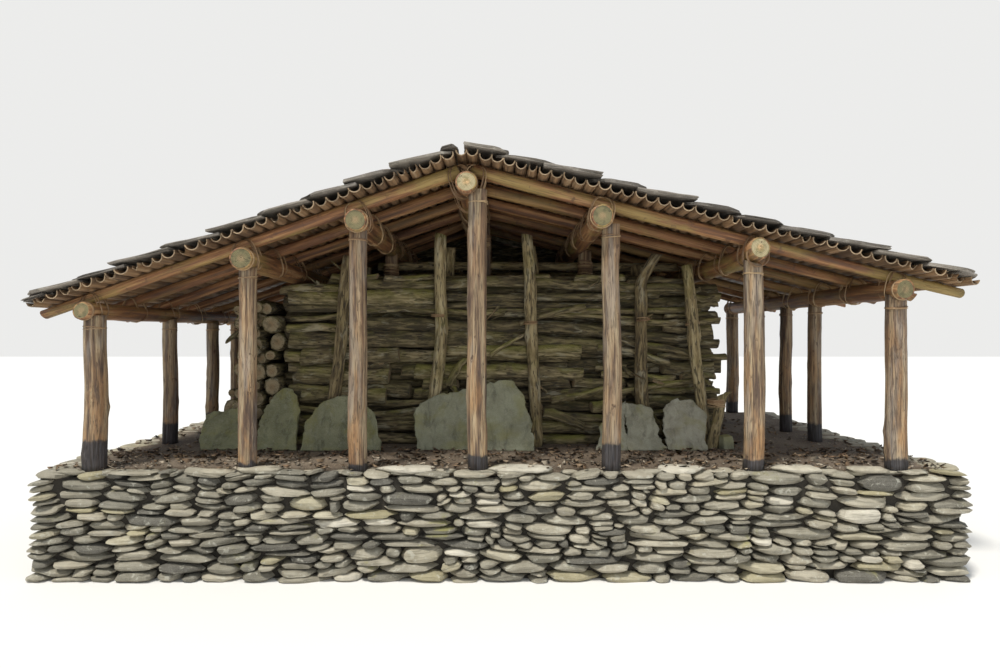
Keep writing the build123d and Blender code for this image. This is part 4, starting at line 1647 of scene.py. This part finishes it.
def leaning_slabs():
    rng = random.Random("slabs")
    bm = start_mesh()
    for points in solids_in("leaning_slabs"):
        add_leaning_slab(bm, points, rng)
    boulder = Vector((2.20, -1.17, PLATFORM_TOP + 0.075))
    add_stone(bm, boulder, Vector((0.085, 0.08, 0.085)), Matrix.Rotation(0.4, 3, "Z"), rng, 0.4, 0.8)
    make_piece(bm, "leaning_slate_slabs", [SLAB_SLATE], ["leaning_slabs"], 40)


def broken_slab(points):
    """A mesh of the slab's own outline, with its faces cut finer and its edges broken."""
    slab = bmesh.new()
    for p in points:
        slab.verts.new(p)
    hull = bmesh.ops.convex_hull(slab, input=slab.verts[:])
    loose = [g for g in hull["geom_interior"] + hull["geom_unused"] if isinstance(g, bmesh.types.BMVert)]
    bmesh.ops.delete(slab, geom=list(set(loose)), context="VERTS")
    bmesh.ops.dissolve_limit(slab, angle_limit=0.03, verts=slab.verts[:], edges=slab.edges[:])
    bmesh.ops.recalc_face_normals(slab, faces=slab.faces[:])
    for _ in range(4):
        long_edges = [e for e in slab.edges if e.calc_length() > 0.05]
        bmesh.ops.subdivide_edges(slab, edges=long_edges, cuts=1)
    bmesh.ops.bevel(slab, geom=slab.edges[:], offset=0.005, offset_type="OFFSET", segments=1, profile=0.5,
                    affect="EDGES", material=-1, clamp_overlap=True)
    bmesh.ops.triangulate(slab, faces=slab.faces[:])
    mesh = bpy.data.meshes.new("slab")
    slab.to_mesh(mesh)
    slab.free()
    return mesh


def add_leaning_slab(bm, points, rng):
    """A slab with ragged edges, which keeps its foot on the ground. Those to the right are paler and greyer;
    the darker olive ones to the left are partly painted shade.
    """
    place = random_place(rng)
    middle = centre_of(points)
    tone = within_one((middle.x + 2.0) / 4.0 + rng.uniform(-0.12, 0.12))
    for v in add_copy(bm, broken_slab(points)):
        local = v.co - middle
        off_ground = within_one((v.co.z - PLATFORM_TOP) / 0.15)
        seat = Vector((v.co.x, v.co.y * 0.3, v.co.z))
        for scale, size in ((5, 0.040), (15, 0.022), (42, 0.016)):
            stray = noise.noise(place + seat * scale)
            climb = noise.noise(place + seat * scale + UP * 7)
            v.co += Vector((stray, 0, off_ground * climb)) * size
        mark(bm, v, local + place, tone)


# Rattan lashings

STRAND = 0.0048


def lash_rafters(bm, rng):
    """Two crossed sets of three loops at each crossing of a rafter and a purlin."""
    past_ridge = 0.04
    ridge_x = purlin_line("ridge_purlin").middle.x
    for side in (-1, 1):
        down, out = slope_axes(side)
        names = [n for n in PURLINS if (purlin_line(n).middle.x - ridge_x) * side > 0.1]
        for name in names + ["ridge_purlin"]:
            purlin = purlin_line(name)
            for head, tip in rafter_lines(side):
                t = abs(purlin.middle.x - head.x) / abs(tip.x - head.x)
                rafter_radius = RAFTER_BUTT + (RAFTER_TIP - RAFTER_BUTT) * t
                centre = Vector((purlin.middle.x, head.y, purlin.middle.z)) + out * (rafter_radius * 0.9)
                centre += down * (past_ridge if name == "ridge_purlin" else 0.0)
                half_height = purlin.radius + rafter_radius * 0.96 + 0.002
                for swing in (-0.8, 0.8):
                    for _ in range(3):
                        angle = swing + rng.uniform(-0.10, 0.10)
                        u = (down * math.sin(angle) + ALONG * math.cos(angle)).normalized()
                        middle = centre + down * rng.uniform(-0.014, 0.014)
                        half_width = purlin.radius * 1.36 + rng.uniform(0, 0.006)
                        add_loop(bm, middle, u, out, half_width, half_height, STRAND, rng, 2.5)


def bind_purlin_ends(bm, rng):
    for name in PURLINS:
        middle, radius, front_y, rear_y = purlin_line(name)
        for y, inward in ((front_y, 1), (rear_y, -1)):
            at = Vector((middle.x, y + inward * rng.uniform(0.048, 0.060), middle.z))
            add_winding(bm, at, ALONG, radius * 1.02, 3, STRAND, rng, 0.05)


def bind_post_heads(bm, rng):
    """Two turns under each post's head, and a broad thick binding on the inner posts."""
    for node in (*POST_ROWS, *FRONT_POSTS):
        girth = FRONT_POSTS[node][0] if node in FRONT_POSTS else 1.0
        drop, turns, strand = (0.20, 10, STRAND * 1.6) if "inner" in node else (0.10, 2, STRAND)
        for points in solids_in(node):
            _, head, radius = trunk_line(points)
            add_winding(bm, head - UP * drop, UP, radius * 0.95 * girth, turns, strand, rng, 0.12)


def bind_stakes(bm, rng):
    for node in STAKE_ROWS:
        for points in solids_in(node):
            (foot, foot_radius), (head, _) = ends_of(points)
            axis = (head - foot).normalized()
            where = foot.lerp(head, rng.uniform(0.52, 0.68))
            add_winding(bm, where, axis, foot_radius * 1.16, 3, STRAND, rng, 0.1)


def tie_prop(bm, rng):
    """Ties the prop to the stake beside it."""
    tie = PROP_FOOT.lerp(PROP_HEAD, 0.86) + Vector((-0.028, 0.030, 0))
    for k in range(8):
        lean = Vector((1, 0, rng.uniform(-0.28, 0.10))).normalized()
        add_loop(bm, tie + UP * (k * 0.009 - 0.033), lean, ALONG, 0.086, 0.092, 0.0055, rng, 2.1)


def lashings():
    rng = random.Random("lashings")
    bm = start_mesh()
    for tie_up in (lash_rafters, bind_purlin_ends, bind_post_heads, bind_stakes, tie_prop):
        tie_up(bm, rng)
    make_piece(bm, "rattan_lashings", [RATTAN])


# Stage, light and camera

def floor():
    mesh = bpy.data.meshes.new("floor")
    bm = bmesh.new()
    bmesh.ops.create_grid(bm, x_segments=1, y_segments=1, size=60)
    bm.to_mesh(mesh)
    bm.free()
    ground = bpy.data.objects.new("floor", mesh)
    scene.collection.objects.link(ground)
    f = Finish("floor")
    f.colour = (0.80, 0.79, 0.77)
    mesh.materials.append(f.done(0.95))


def daylight():
    """A plain grey behind the house, and a weaker, bluer light on it."""
    world = bpy.data.worlds.new("soft daylight")
    scene.world = world
    world.use_nodes = True
    n = Nodes(world.node_tree)
    seen = n.add("LightPath", {}, "Is Camera Ray")
    background = n.tree.nodes["Background"].inputs
    put(background["Color"], n.blended(seen, (0.86, 0.93, 1.0), (0.84, 0.84, 0.83)))
    put(background["Strength"], n.between(seen, 0.0, 1.0, 0.62, 1.0))


def add_lamp(name, kind, energy, place, aim):
    light = bpy.data.lights.new(name, kind)
    light.energy = energy
    lamp = bpy.data.objects.new(name, light)
    lamp.location = place
    lamp.rotation_euler = aim.to_track_quat("-Z", "Y").to_euler()
    scene.collection.objects.link(lamp)
    return light


def lamps():
    key = add_lamp("key", "SUN", 3.1, Vector((0, 0, 0)), Vector((0.30, 0.44, -1.0)))
    key.angle = math.radians(9)
    key.color = (1.0, 0.96, 0.88)
    fill_place = Vector((2.5, -9.5, 3.2))
    fill = add_lamp("fill", "AREA", 140, fill_place, Vector((0, -1, 1.6)) - fill_place)
    fill.size = 7


def camera():
    """A level camera in front of the middle of the house."""
    lens = bpy.data.cameras.new("camera")
    lens.lens = 28
    lens.sensor_width = 36
    viewer = bpy.data.objects.new("camera", lens)
    viewer.location = (0, -8.77, 2.013)
    viewer.rotation_euler = (math.pi / 2, 0, 0)
    scene.collection.objects.link(viewer)
    scene.camera = viewer


platform_walls()
rim_stones()
earth_top()
leaf_litter()
posts()
purlins()
tie_beams()
rafters()
culms()
slate_plates()
gable_log_walls()
side_log_walls()
wall_stakes()
leaning_slabs()
lashings()
floor()
daylight()
lamps()
camera()
scene.view_settings.view_transform = "Standard"
